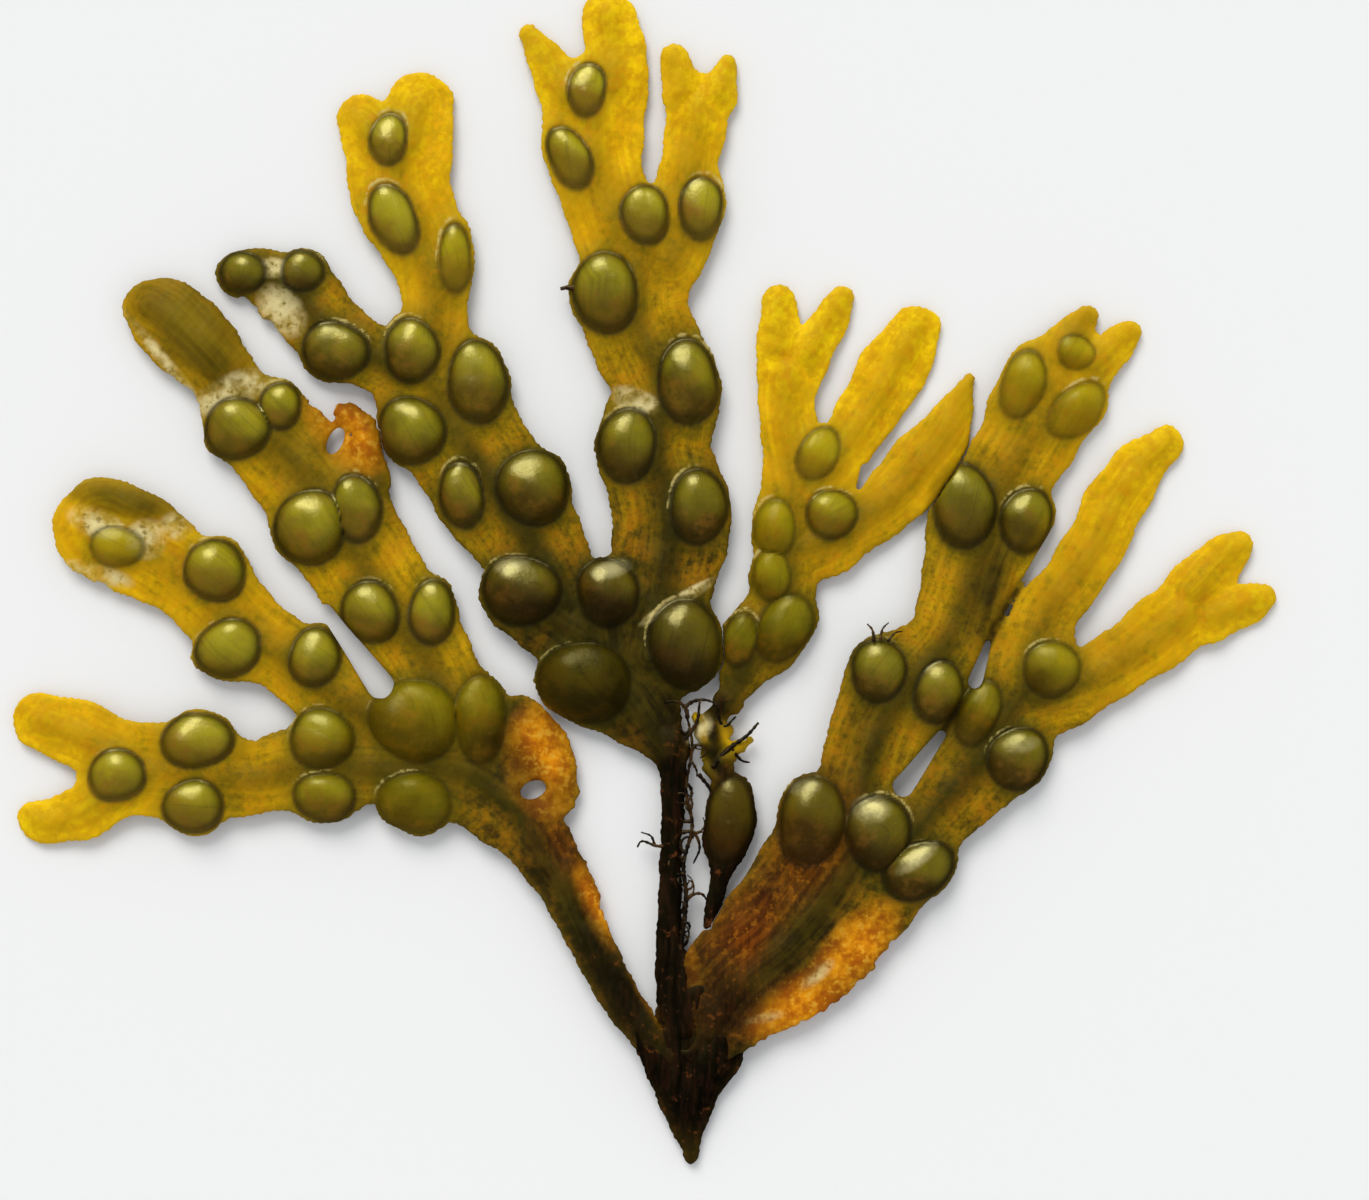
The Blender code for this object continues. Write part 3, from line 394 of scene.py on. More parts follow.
def segment_values(points, rows):
    """Distance to each stretch of a ribbon's middle line, and the half width, z and tone beside it."""
    start, end = rows[:-1], rows[1:]
    along = end[:, :2] - start[:, :2]
    offset = points[:, None] - start[:, :2]
    t = np.clip((offset * along).sum(axis=2) / (along * along).sum(axis=1), 0, 1)
    distance = np.hypot(offset[..., 0] - t * along[:, 0], offset[..., 1] - t * along[:, 1])
    values = [start[:, column] + t * (end[:, column] - start[:, column]) for column in (2, 3, 4)]
    return distance, *values


def oval_radius(points, oval):
    """How far out a point lies in an oval: 0 in its middle and 1 on its edge."""
    x, y, length, width, angle = oval[:5]
    turn = math.radians(angle)
    dx, dy = points[:, 0] - x, points[:, 1] - y
    along = (dx * math.cos(turn) + dy * math.sin(turn)) / (length / 2)
    across = (dy * math.cos(turn) - dx * math.sin(turn)) / (width / 2)
    return np.hypot(along, across)


def bladder_radius(points, bladder):
    """Oval radius of a bladder, a little uneven so that no two are alike."""
    x, y = bladder[:2]
    turn = np.arctan2(points[:, 1] - y, points[:, 0] - x)
    uneven = 0.03 * np.sin(2 * turn + x) + 0.025 * np.sin(3 * turn + y)
    return oval_radius(points, bladder) * (1 + uneven)


def place_marks(points, places):
    """Strength of the named places at each point, soft towards their edges."""
    result = np.zeros(len(points))
    for place in places:
        radius = oval_radius(points, place)
        result = np.maximum(result, place[5] * np.clip(PLACE_REACH - radius, 0, 1) ** PLACE_SOFTNESS)
    return result


def capsule_distance(points, capsule):
    """Distance outside a straight stretch with round ends, narrower towards its second end."""
    x, y, end_x, end_y, half_width = capsule
    along = np.array((end_x - x, end_y - y))
    offset = points - np.array((x, y))
    t = np.clip(offset @ along / (along @ along), 0, 1)
    return np.hypot(*(offset - t[:, None] * along).T) - half_width * (1 - SLIT_TAPER * t)


def edge_wave(points):
    """Gentle unevenness of the fronds' edges, with a finer one on top."""
    x, y = points[:, 0], points[:, 1]
    gentle = 0.6 * np.sin(0.71 * x + 0.33 * y) + 0.4 * np.sin(1.13 * y - 0.52 * x + 1.3)
    fine = np.sin(2.9 * x + 1.7 * y + 0.4) * np.sin(3.3 * y - 1.9 * x) + 0.6 * np.sin(5.3 * x - 4.1 * y)
    torn = np.sin(1.3 * x - 0.6 * y + 0.5) * np.sin(1.6 * y + 0.9 * x) + 0.4 * np.sin(2.9 * x + 1.7 * y)
    torn += 0.3 * np.sin(4.7 * x - 3.1 * y) * np.sin(0.8 * x + 1.1 * y)
    ragged = RAGGED_WAVE * place_marks(points, RAGGED_PLACES)
    return EDGE_WAVE * gentle + FINE_WAVE * fine + ragged * torn


def surroundings(ribbons, margin):
    """Lowest and highest corner around the ribbons, with a margin beyond their width."""
    rows = np.vstack(ribbons)
    reach = rows[:, 2].max() + margin
    return rows[:, :2].min(axis=0) - reach, rows[:, :2].max(axis=0) + reach


class Cluster:
    """Fronds that grow together and make one continuous surface."""

    def __init__(self, branches, neighbours=()):
        self.branches = branches
        self.neighbours = neighbours
        self.rows = {branch.name: [ribbon_rows(ribbon) for ribbon in branch.ribbons] for branch in branches}

    def own_distance(self, points):
        """Distance outside the fronds' own outline, negative inside."""
        result = np.full(len(points), FAR)
        for branch in self.branches:
            low, high = surroundings(self.rows[branch.name], NEAR_MARGIN)
            near = np.flatnonzero(((points > low) & (points < high)).all(axis=1))
            if not len(near):
                continue
            local = points[near]
            value = np.full(len(near), FAR)
            for ribbon in self.rows[branch.name]:
                distance, half_width, _, _ = segment_values(local, ribbon)
                value = smooth_min(value, (distance - half_width).min(axis=1), BLEND)
            for bladder in branch.bladders:
                reach = (bladder_radius(local, bladder) - 1) * bladder[3] / 2 - BLADDER_MARGIN
                value = smooth_min(value, reach, BLEND)
            result[near] = smooth_min(result[near], value, FORK_BLEND)
        return result + edge_wave(points)

    def distance(self, points):
        """The outline with its slits and holes, kept clear of the neighbours."""
        result = self.own_distance(points)
        for neighbour in self.neighbours:
            result = np.maximum(result, PART_GAP - neighbour.own_distance(points))
        for slit in SLITS:
            result = np.maximum(result, -capsule_distance(points, slit))
        for hole in HOLES:
            result = np.maximum(result, (1 - oval_radius(points, hole)) * hole[3] / 2)
        return result


def chunked(function, points, size=6000):
    """The function's values for all points, worked out a few thousand at a time."""
    return np.concatenate([function(points[start:start + size]) for start in range(0, len(points), size)])


CELL_CORNERS = ((0, 0), (1, 0), (1, 1), (0, 1))


def plan_mesh(cluster):
    """Fine flat mesh of the outline: square cells inside, and cells cut along the edge."""
    low, high = surroundings(sum(cluster.rows.values(), []), BOUNDS_MARGIN)
    xs = np.arange(low[0], high[0], GRID_STEP)
    ys = np.arange(low[1], high[1], GRID_STEP)
    shape = (len(xs), len(ys))
    grid = np.stack(np.meshgrid(xs, ys, indexing="ij"), axis=-1)
    values = chunked(cluster.distance, grid.reshape(-1, 2)).reshape(shape)
    slope = np.stack(np.gradient(values, GRID_STEP), axis=-1)
    steep = np.maximum((slope * slope).sum(axis=-1), LEAST_SLOPE)
    close = np.abs(values) < SNAP_SHARE * GRID_STEP
    shift = slope * (values / steep)[..., None]
    grid = np.where(close[..., None], grid - shift, grid)
    inside = (values < 0) | close
    places = {}
    cut_points = []

    def cut(a, b):
        """Where the edge crosses between an inside and an outside corner."""
        if close[a]:
            return ("corner", a)
        key = ("cut", a, b)
        if key not in places:
            share = values[a] / (values[a] - values[b])
            places[key] = len(cut_points)
            cut_points.append(grid[a] + share * (grid[b] - grid[a]))
        return key

    cells = inside[:-1, :-1].astype(int) + inside[1:, :-1] + inside[1:, 1:] + inside[:-1, 1:]
    whole = np.argwhere(cells == 4)
    faces = []
    for i, j in np.argwhere((cells > 0) & (cells < 4)):
        corners = [(i + a, j + b) for a, b in CELL_CORNERS]
        face = []
        for here, there in zip(corners, corners[1:] + corners[:1]):
            if inside[here]:
                face.append(("corner", here))
                if not inside[there]:
                    face.append(cut(here, there))
            elif inside[there]:
                face.append(cut(there, here))
        face = [key for index, key in enumerate(face) if key != face[index - 1]]
        if len(face) > 2:
            faces.append(face)
    used = np.zeros(shape, dtype=bool)
    for a, b in CELL_CORNERS:
        used[whole[:, 0] + a, whole[:, 1] + b] = True
    for face in faces:
        for key in face:
            if key[0] == "corner":
                used[key[1]] = True
    base = used.sum()
    number = np.full(shape, -1)
    number[used] = np.arange(base)
    points = np.vstack([grid[used], np.array(cut_points).reshape(-1, 2)])
    polygons = [[number[i + a, j + b] for a, b in CELL_CORNERS] for i, j in whole]
    for face in faces:
        polygons.append([number[key[1]] if key[0] == "corner" else base + places[key] for key in face])
    return points, [tuple(map(int, face)) for face in polygons]


# The columns that surface_values gives, most of them marks that the material reads
COLUMNS = "height half across bladder crown upper crease near glint tone inside stem".split()


def surface_values(cluster, points):
    """Middle height, half thickness and marks of the surface at each point, one column each."""
    columns = []
    for branch in cluster.branches:
        for rows in cluster.rows[branch.name]:
            distance, *values = segment_values(points, rows)
            columns.append((distance, *values, np.full(distance.shape, branch.kind == "stem")))
    distance, half_width, heights, tones, kinds = (np.hstack(column) for column in zip(*columns))
    weight = 1 / (distance ** 2 + 0.5) ** 2
    total = weight.sum(axis=1)
    averages = [(weight * column).sum(axis=1) / total for column in (heights, tones, half_width, kinds)]
    height, tone, width, stem = averages
    rib = distance.min(axis=1)
    inside = np.clip(-cluster.distance(points), 0, None)

    share = np.clip(rib / width, 0, 1.2)
    rounding = np.clip(inside / RIM_ROUND, 0, 1)
    rounding = np.sqrt(rounding * (2 - rounding))
    x, y = points[:, 0], points[:, 1]
    ripple = np.sin(0.62 * x + 0.2 * y) * np.sin(0.55 * y - 0.17 * x + 0.8)
    leather = np.sin(2.1 * x + 0.9 * y) * np.sin(1.8 * y - 0.7 * x) + 0.6 * np.sin(3.7 * x - 2.9 * y + 1)
    half = RIM_HALF + rounding * (BLADE_HALF - RIM_HALF + LEATHER_RELIEF * leather)
    half += rounding * RIB_HEIGHT * peak(rib / RIB_WIDTH) * (1 - stem)
    across = np.clip(1 - (distance / half_width) ** 2, 0, 1)
    round_stem = (kinds * half_width * STEM_FLATNESS * np.sqrt(across)).max(axis=1)
    strands = np.sin(3.1 * x + 1.4 * np.sin(0.35 * y)) + 0.5 * np.sin(4.3 * x - 1.8 * np.sin(0.23 * y + 1))
    half = np.where(round_stem > 0, np.maximum(half, round_stem + STRAND_RELIEF * strands), half)
    height = height + (1 - stem) * (UNDULATION * ripple - EDGE_DROP * share ** 2)

    bladders = bladder_values(cluster, points)
    near = peak(np.clip(bladders.outside, 0, None) / LIP_WIDTH)
    half = half + rounding * LIP_HEIGHT * near
    lower = 0.5 - 0.5 * bladders.side
    half = -smooth_min(-half, -bladders.bulge, BLADDER_FILLET + (LOWER_FILLET - BLADDER_FILLET) * lower)
    half = half - rounding * (CREASE_DEPTH * bladders.crease + VALLEY_DEPTH * bladders.valley)
    for swelling in SWELLINGS:
        crown = np.clip(1 - oval_radius(points, swelling) ** 2, 0, 1)
        half = half + rounding * swelling[3] / 2 * SWELLING_FLATNESS * crown
    fold_mark = np.zeros(len(points))
    for fold in FOLDS:
        groove = peak(capsule_distance(points, fold).clip(0) / FOLD_WIDTH)
        half = half - rounding * FOLD_DEPTH * groove
        fold_mark = np.maximum(fold_mark, groove)
    half = np.maximum(half, RIM_HALF)
    # The crease mark, which the material paints dark as shade in these grooves
    crease = np.maximum(np.maximum(bladders.crease, bladders.valley), fold_mark)
    return np.column_stack([height, half, rib, bladders.skin, bladders.crown, bladders.upper, crease, near,
                            bladders.glint, tone, inside, stem])


Bladders = namedtuple("Bladders", "outside bulge side valley crease skin crown upper glint")


def bladder_values(cluster, points):
    """Shape and marks of the bladders at each point.

    Where two bladders meet, the higher one is in front and a valley runs between them.
    """
    first, second = np.full((2, len(points)), -FAR)
    outside = np.full(len(points), FAR)
    crown, upper, side, glint = np.zeros((4, len(points)))
    for branch in cluster.branches:
        for bladder in branch.bladders:
            x, y, _, width, _ = bladder
            radius = bladder_radius(points, bladder)
            reach = (radius - 1) * width / 2
            turn = np.arctan2(points[:, 1] - y, points[:, 0] - x)
            steepness = DOME_POWER - 0.1 * np.sin(turn) * np.clip(radius, 0, 1)
            dome = np.clip(1 - radius ** BLADDER_FULLNESS, 0, None) ** steepness
            bulge = np.where(radius < 1, width / 2 * BLADDER_FLATNESS * dome, -2 * reach)
            in_front = bulge > first
            side = np.where(in_front, np.sin(turn), side)
            crown = np.where(in_front, dome, crown)
            # upper: how far a point lies towards a bladder's upper side, which faces the light; the
            # material paints that side lighter and greener as painted light
            upper = np.where(in_front, np.clip(radius, 0, 1) * np.sin(turn + 0.35), upper)
            outside = np.minimum(outside, reach)
            second = np.maximum(second, np.minimum(first, bulge))
            first = np.maximum(first, bulge)
            # Glint: a painted highlight, a pale crescent on the blade just outside each bladder on the side
            # towards the light
            facing = math.radians(GLINT_FACING + GLINT_TURN * math.sin(12.9 * x + 7.3 * y))
            strength = 0.55 + 0.45 * math.sin(5.1 * x - 3.7 * y)
            arc = np.clip(1.7 * np.cos(turn - facing) - 0.7, 0, 1)
            glint = np.maximum(glint, strength * arc * peak((reach - GLINT_PLACE) / GLINT_WIDTH))
    valley = peak((first - second) / VALLEY_WIDTH) * np.clip(second, 0, 1)
    crease = peak((outside - 0.05) / CREASE_WIDTH) * (0.72 + 0.14 * side)
    skin = np.clip(0.5 - outside / (0.5 + 1.1 * np.clip(-side, 0, 1)), 0, 1)
    glint = glint * (outside > 0)
    return Bladders(outside, first, side, valley, crease, skin, crown, upper, glint)


def open_edges(polygons):
    """Directed edges that only one polygon uses."""
    edges = {edge for face in polygons for edge in zip(face, face[1:] + face[:1])}
    return [edge for edge in edges if edge[::-1] not in edges]


def add_object(name, data):
    thing = bpy.data.objects.new(name, data)
    bpy.context.scene.collection.objects.link(thing)
    return thing


def add_mesh(name, verts, faces, material):
    mesh = bpy.data.meshes.new(name)
    mesh.from_pydata(verts, [], faces)
    mesh.materials.append(material)
    mesh.shade_smooth()
    return add_object(name, mesh)


def build_piece(name, cluster, material, nodes):
    """Closed mesh of a cluster: top and bottom over the same cells, joined by a thin rim."""
    points, polygons = plan_mesh(cluster)
    marks = dict(zip(COLUMNS, chunked(lambda part: surface_values(cluster, part), points).T))
    middle, half, inside = (marks.pop(name) for name in ("height", "half", "inside"))
    top = middle + half
    bottom = np.maximum(middle - half, 0)
    top = np.maximum(top, bottom + 2 * RIM_HALF)
    centred = (points - np.array(PLAN_CENTRE)) * MM
    verts = np.vstack([np.column_stack([centred, top * MM]), np.column_stack([centred, bottom * MM])])
    total = len(points)
    faces = list(polygons)
    faces += [tuple(total + index for index in reversed(face)) for face in polygons]
    faces += [(end, start, total + start, total + end) for start, end in open_edges(polygons)]
    marks["rib"] = peak(marks["across"] / RIB_BAND)
    marks["margin"] = np.exp(-inside / MARGIN_BAND)
    marks.update({mark: place_marks(points, places) for mark, places in PLACES.items()})
    marks["stem"] = np.maximum(marks["stem"], marks.pop("bark"))
    piece = add_mesh(name, verts.tolist(), faces, material)
    for mark, numbers in marks.items():
        layer = piece.data.attributes.new(mark, "FLOAT", "POINT")
        layer.data.foreach_set("value", np.concatenate([numbers, numbers]).astype(np.float32))
    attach(piece, "root")
    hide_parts(*nodes)


def colour(code):
    """Linear colour of a hex code."""
    channels = [int(code[start:start + 2], 16) / 255 for start in (1, 3, 5)]
    linear = [value / 12.92 if value <= 0.04045 else ((value + 0.055) / 1.055) ** 2.4 for value in channels]
    return (*linear, 1)


class Nodes:
    """Short way to add shader nodes to a material and join them."""

    def __init__(self, name):
        self.material = bpy.data.materials.new(name)
        self.material.use_nodes = True
        self.tree = self.material.node_tree

    def add(self, kind, *values, **inputs):
        """A new node, with what goes into its inputs, in their order or by name."""
        node = self.tree.nodes.new("ShaderNode" + kind)
        for socket, value in zip(node.inputs, values):
            self.put(socket, value)
        for name, value in inputs.items():
            self.put(node.inputs[name], value)
        return node

    def put(self, socket, value):
        """Join another node's output to a socket, or set it to a number or a hex colour."""
        if isinstance(value, bpy.types.NodeSocket):
            self.tree.links.new(value, socket)
        else:
            socket.default_value = colour(value) if isinstance(value, str) else value

    def set_shader(self, name, value):
        self.put(self.tree.nodes["Principled BSDF"].inputs[name], value)

    def marks(self, names):
        """The mesh's marks with these names."""
        outputs = []
        for name in names.split():
            node = self.add("Attribute")
            node.attribute_name = name
            outputs.append(node.outputs["Fac"])
        return outputs

    def noise(self, size_mm, detail=3, roughness=0.55, offset=0, lengthwise=1):
        """Noise whose blobs are about size_mm across, and longer than that up the stems, from 0 to 1."""
        shift = self.add("Mapping", Vector=self.add("TexCoord").outputs["Object"],
                         Location=(offset, offset * 0.7, 0), Scale=(1, 1 / lengthwise, 1))
        node = self.add("TexNoise", Vector=shift.outputs["Vector"], Scale=1000 / size_mm, Detail=detail,
                        Roughness=roughness)
        return node.outputs["Fac"]

    def streaks(self, width_mm, length_mm):
        """Noise drawn out along the midribs, from 0 to 1."""
        parts = self.add("SeparateXYZ", Vector=self.add("TexCoord").outputs["Object"])
        joined = self.add("CombineXYZ", X=self.math("DIVIDE", *self.marks("across"), width_mm),
                          Y=self.times(parts.outputs["X"], 1000 / length_mm),
                          Z=self.times(parts.outputs["Y"], 1000 / length_mm))
        return self.add("TexNoise", Vector=joined.outputs["Vector"], Scale=1, Detail=3).outputs["Fac"]

    def math(self, operation, *values):
        node = self.add("Math", *values)
        node.operation = operation
        return node.outputs[0]

    def times(self, first, second, plus=0):
        return self.math("MULTIPLY_ADD", first, second, plus)

    def stretch(self, value, low, high, to_low=0, to_high=1):
        """The value's range low to high, smoothly mapped and held within the new range."""
        node = self.add("MapRange", value, low, high, to_low, to_high)
        node.interpolation_type = "SMOOTHSTEP"
        return node.outputs[0]

    def mix(self, factor, first, second):
        """The first colour, with as much of the second one as the factor says."""
        node = self.add("Mix")
        node.data_type = "RGBA"
        for index, value in ((0, factor), (6, first), (7, second)):
            self.put(node.inputs[index], value)
        return node.outputs[2]

    def ramp(self, value, stops):
        node = self.add("ValToRGB", Fac=value)
        elements = node.color_ramp.elements
        while len(elements) < len(stops):
            elements.new(0.5)
        for element, (position, code) in zip(elements, stops.items()):
            element.position = position
            element.color = colour(code)
        return node.outputs["Color"]

    def bump(self, height, distance_mm, **below):
        node = self.add("Bump", Distance=distance_mm * MM, Height=height, **below)
        return node.outputs["Normal"]


# Blade colours by tone, from the stems to the youngest tips
BLADE_STOPS = {
    0: "#0F0904", 0.1: "#2A1C05", 0.2: "#4A3706", 0.35: "#7A5E04",
    0.5: "#9F7C02", 0.65: "#C49802", 0.8: "#E0B000", 1: "#FFD800",
}
# Bladder colours by tone: greener and lighter for the upper side as painted light, browner and darker for
# the lower side as painted shade
LIT_GREEN_STOPS = {
    0: "#221B04", 0.15: "#54490A", 0.3: "#665B0A", 0.45: "#7A700A",
    0.65: "#9E920E", 1: "#ACA010",
}
SHADED_BROWN_STOPS = {
    0: "#160D02", 0.15: "#332305", 0.3: "#402D04", 0.45: "#523E04",
    0.65: "#786206", 1: "#886E06",
}


def frond_material():
    """Leathery blade with darker midribs, glossy bladders, torn golden places and dark stems."""
    n = Nodes("wrack_blade")
    tone, rib, bladder, crease, crown, upper, near = n.marks("tone rib bladder crease crown upper near")
    glint, margin, stem, worn, brown, pale = n.marks("glint margin stem worn brown pale")
    cap, dark, olive, dull = n.marks("cap dark olive dull")
    broad = n.stretch(n.noise(14), 0.3, 0.7)
    patchy = n.stretch(n.noise(4, offset=3.1), 0.3, 0.7)
    fine = n.stretch(n.noise(1.2, 3, 0.6, offset=1.7), 0.3, 0.7)
    specks = n.noise(0.7, 1, 0.5, offset=5.3)
    streaks = n.stretch(n.streaks(0.9, 11), 0.3, 0.7)
    strands = n.stretch(n.noise(0.9, 4, 0.6, offset=2.9, lengthwise=7), 0.35, 0.7)
    grainy = n.times(fine, 0.4, n.times(patchy, 0.6))

    spread = n.times(n.math("SUBTRACT", broad, 0.5), 0.14)
    for noise, share in ((patchy, 0.2), (fine, 0.14), (streaks, 0.17)):
        spread = n.times(n.math("SUBTRACT", noise, 0.5), share, spread)
    calm = n.stretch(tone, 0.02, 0.35, 0.25, 1)
    value = n.times(spread, calm, tone)
    surface = n.ramp(value, BLADE_STOPS)

    rusty = n.times(n.stretch(grainy, 0.3, 0.9), n.stretch(tone, 0.15, 0.35, 0.35, 0.65))
    surface = n.mix(rusty, surface, n.mix(n.stretch(tone, 0.4, 0.9), "#985C08", "#D68E04"))
    # Painted shade: the blade turns darker olive close around each bladder
    beside = n.times(n.math("POWER", near, 0.4), n.stretch(tone, 0.4, 1, 0.7, 0.4))
    surface = n.mix(beside, surface, n.mix(n.stretch(tone, 0.3, 0.8), "#3E3C05", "#746A07"))
    band = n.times(rib, n.stretch(tone, 0.35, 0.9, 0.94, 0.4))
    midrib = n.mix(n.stretch(tone, 0.4, 0.9), "#352F05", "#7C6606")
    surface = n.mix(n.times(band, n.stretch(streaks, 0, 0.8, 0.85, 1)), surface, midrib)
    blots = n.stretch(n.noise(2.2, 4, 0.65, offset=7.7), 0.42, 0.6)
    mottle = n.times(blots, n.stretch(tone, 0.5, 0.8, 0, 0.55))
    surface = n.mix(mottle, surface, n.mix(patchy, "#C88204", "#B08E05"))
    edge = n.mix(n.stretch(tone, 0.5, 0.8), "#7A640A", "#E9C41A")
    surface = n.mix(n.times(margin, 0.4), surface, edge)
    dots = n.times(n.stretch(specks, 0.54, 0.68), n.stretch(tone, 0.45, 0.75, 0.3, 0))
    surface = n.mix(dots, surface, "#3A2503")

    earth = n.mix(n.stretch(n.math("ADD", streaks, strands), 0.3, 1.6), "#4E2103", "#763A04")
    earth = n.mix(n.stretch(fine, 0.7, 1, 0, 0.5), earth, "#A86410")
    surface = n.mix(n.times(brown, 0.92), surface, earth)
    orange = n.mix(n.stretch(grainy, 0.1, 0.9), "#B05C05", "#E8960C")
    orange = n.mix(n.stretch(fine, 0.65, 1, 0, 0.6), orange, "#E6B03A")
    surface = n.mix(n.times(worn, n.stretch(broad, 0, 0.7, 0.7, 1)), surface, orange)
    leaf = n.mix(n.times(streaks, 0.4, n.times(broad, 0.6)), "#4C3F06", "#776309")
    surface = n.mix(n.times(olive, 0.92), surface, leaf)
    cream = n.mix(n.stretch(grainy, 0.1, 0.9), "#A08A42", "#DACB92")
    cream = n.mix(n.stretch(fine, 0, 0.25, 0.6, 0), cream, "#54420C")
    veil = n.times(n.stretch(pale, 0, 0.8), n.stretch(patchy, 0, 0.9, 0.35, 0.95))
    shade = n.mix(n.stretch(n.math("ADD", patchy, streaks), 0.3, 1.7), "#221B04", "#3F3606")
    surface = n.mix(n.times(dark, 0.85), surface, shade)
    bark = n.mix(n.stretch(strands, 0.1, 1), "#040101", "#1F0904")
    flecks = n.times(n.stretch(fine, 0.75, 1, 0, 0.6), n.stretch(patchy, 0.4, 0.9))
    bark = n.mix(flecks, bark, "#6A3414")
    surface = n.mix(n.times(stem, 0.95), surface, bark)
    surface = n.mix(veil, surface, cream)

    skin_tone = n.times(n.math("SUBTRACT", patchy, 0.5), 0.12, tone)
    # Painted light and shade: bladder skin greener and lighter on its upper side, browner and darker on its
    # lower side
    lit_side = n.times(n.math("SUBTRACT", broad, 0.5), 0.6, upper)
    lit_share = n.stretch(lit_side, -0.5, 0.6)
    skin = n.mix(lit_share, n.ramp(skin_tone, SHADED_BROWN_STOPS), n.ramp(skin_tone, LIT_GREEN_STOPS))
    rust = n.times(n.stretch(grainy, 0.4, 0.95), n.stretch(lit_share, 0, 1, 0.6, 0.2))
    skin = n.mix(rust, skin, n.mix(n.stretch(tone, 0.1, 0.4), "#3E2604", "#805406"))
    stripes = n.stretch(n.streaks(0.5, 16), 0.5, 0.75, 0, 0.35)
    skin = n.mix(stripes, skin, n.mix(n.stretch(tone, 0.1, 0.7), "#241C04", "#5A5206"))
    rim_shade = n.times(n.stretch(crown, 0.25, 0.8, 0.85, 0), n.stretch(dull, 0, 1, 1, 0.4))
    skin = n.mix(rim_shade, skin, "#251C04")
    skin = n.mix(n.stretch(dull, 0.3, 1, 0, 0.35), skin, surface)
    skin = n.mix(n.times(dark, 0.3), skin, "#171003")
    skin = n.mix(n.times(brown, 0.6), skin, "#3E2406")
    surface = n.mix(bladder, surface, skin)
    # Painted highlight: a pale patch on the upper edge of a few bladders
    painted_cap_highlight = n.times(cap, n.stretch(grainy, 0, 0.8, 0.35, 0.9))
    surface = n.mix(painted_cap_highlight, surface, "#B5AC78")
    # Painted highlight: pale crescents beside the bladders on the side towards the light
    rim = n.stretch(n.times(glint, n.stretch(fine, 0, 1, 0.4, 1.2)), 0.2, 0.9)
    surface = n.mix(n.times(rim, 0.7), surface, "#CDBB70")
    # Painted shade: a dark line in the groove around each bladder, in the valley between touching bladders
    # and along the folds
    line = n.times(crease, n.stretch(patchy, 0.1, 0.7, 0.6, 1))
    surface = n.mix(n.times(line, n.stretch(dull, 0, 1, 0.9, 0.6)), surface, "#150F02")
    n.set_shader("Base Color", surface)

    rough = n.stretch(fine, 0, 1, 0.6, 0.75)
    smooth = n.stretch(fine, 0, 1, 0.27, 0.35)
    leathery = n.times(rough, n.math("SUBTRACT", 1, bladder))
    n.set_shader("Roughness", n.times(smooth, bladder, leathery))
    gloss = n.times(n.stretch(dull, 0, 1, 1, 0.1), n.stretch(broad, 0, 1, 0.8, 1))
    # The even value stays where a varying one can't be kept
    n.set_shader("Specular IOR Level", 0.3)
    n.set_shader("Specular IOR Level", n.stretch(n.times(bladder, gloss), 0, 1, 0.1, 0.6))
    n.set_shader("Specular Tint", (1, 0.95, 0.68, 1))
    grain = n.bump(n.noise(0.8, 4, 0.65, offset=8.2), 0.05)
    n.set_shader("Normal", n.bump(n.noise(2.4, 2, offset=6.4), 0.1, Normal=grain))
    n.set_shader("Subsurface Weight", 0.08)
    n.set_shader("Subsurface Radius", (1, 0.6, 0.1))
    n.set_shader("Subsurface Scale", 0.001)
    return n.material


def twig_material():
    """Nearly black, damp twigs with brown patches."""
    n = Nodes("wrack_twig")
    patchy = n.noise(2.2, 4)
    fine = n.noise(0.5, 3, 0.6, offset=2.3)
    bark = n.mix(n.stretch(patchy, 0.42, 0.68), "#120A04", "#4A2E0A")
    bark = n.mix(n.times(n.stretch(fine, 0.6, 0.74), 0.6), bark, "#8A6A22")
    n.set_shader("Base Color", bark)
    n.set_shader("Roughness", n.stretch(fine, 0.3, 0.7, 0.4, 0.65))
    n.set_shader("Normal", n.bump(n.noise(0.7, 4, 0.65, offset=4.4), 0.08))
    n.set_shader("Specular IOR Level", 0.2)
    return n.material


# Twigs beside the middle stem, and small spurs on bladders: (thickness, points as x, y, z)
TWIGS = (
    (0.9, ((5.2, -62, 3), (6.4, -52, 3.4), (6, -46, 3.6), (7.4, -40, 3.4), (6.4, -34, 3.6), (7.4, -27, 3.8),
        (6.2, -21, 4.2))),
    (0.7, ((4.6, -42.6, 3.2), (2, -43.2, 3.4), (-0.6, -42.4, 3), (-1.4, -43.4, 2.8))),
    (0.5, ((1.4, -43.1, 3.2), (0.8, -41.6, 3.2), (-0.8, -41, 2.8))),
    (0.7, ((5.6, -41, 3), (7.6, -41, 3.4), (8.6, -43.4, 3.2), (7.6, -46, 3))),
    (0.8, ((5.8, -54, 3), (6.8, -51.4, 3.4), (8.8, -50.8, 3.4), (10, -52.2, 3.2))),
    (1, ((10.6, -30.6, 3.4), (13.2, -27.6, 3.8), (16, -25.6, 4), (18, -23.4, 3.6))),
    (0.7, ((13.6, -27.4, 3.6), (15.2, -29.4, 3.4), (16.6, -29.8, 3))),
    (0.9, ((5.4, -27, 3.8), (8, -23.6, 4.2), (8.6, -20, 4.4))),
    (0.7, ((8.4, -31.6, 3.4), (10.4, -34.6, 3.2), (9.6, -38, 3))),
    (0.7, ((11, -21, 3.6), (12.4, -24, 3.8), (14.4, -22.4, 3.6))),
    (1.3, ((-10.4, 46, 3.4), (-12.4, 46.3, 3.4), (-13.7, 46.1, 3.2))),
    (0.6, ((36.4, -10.4, 5.2), (36.2, -8.6, 4.8), (35.4, -7.6, 4.2))),
    (0.5, ((37.4, -10.2, 5.2), (37.8, -8.4, 4.8), (38.8, -7.4, 4.2))),
    (0.5, ((38.6, -10.4, 5.2), (39.8, -9, 4.8), (41, -8.8, 4.2))),
)
CURL_COUNT = 26
CURL_SEED = 11


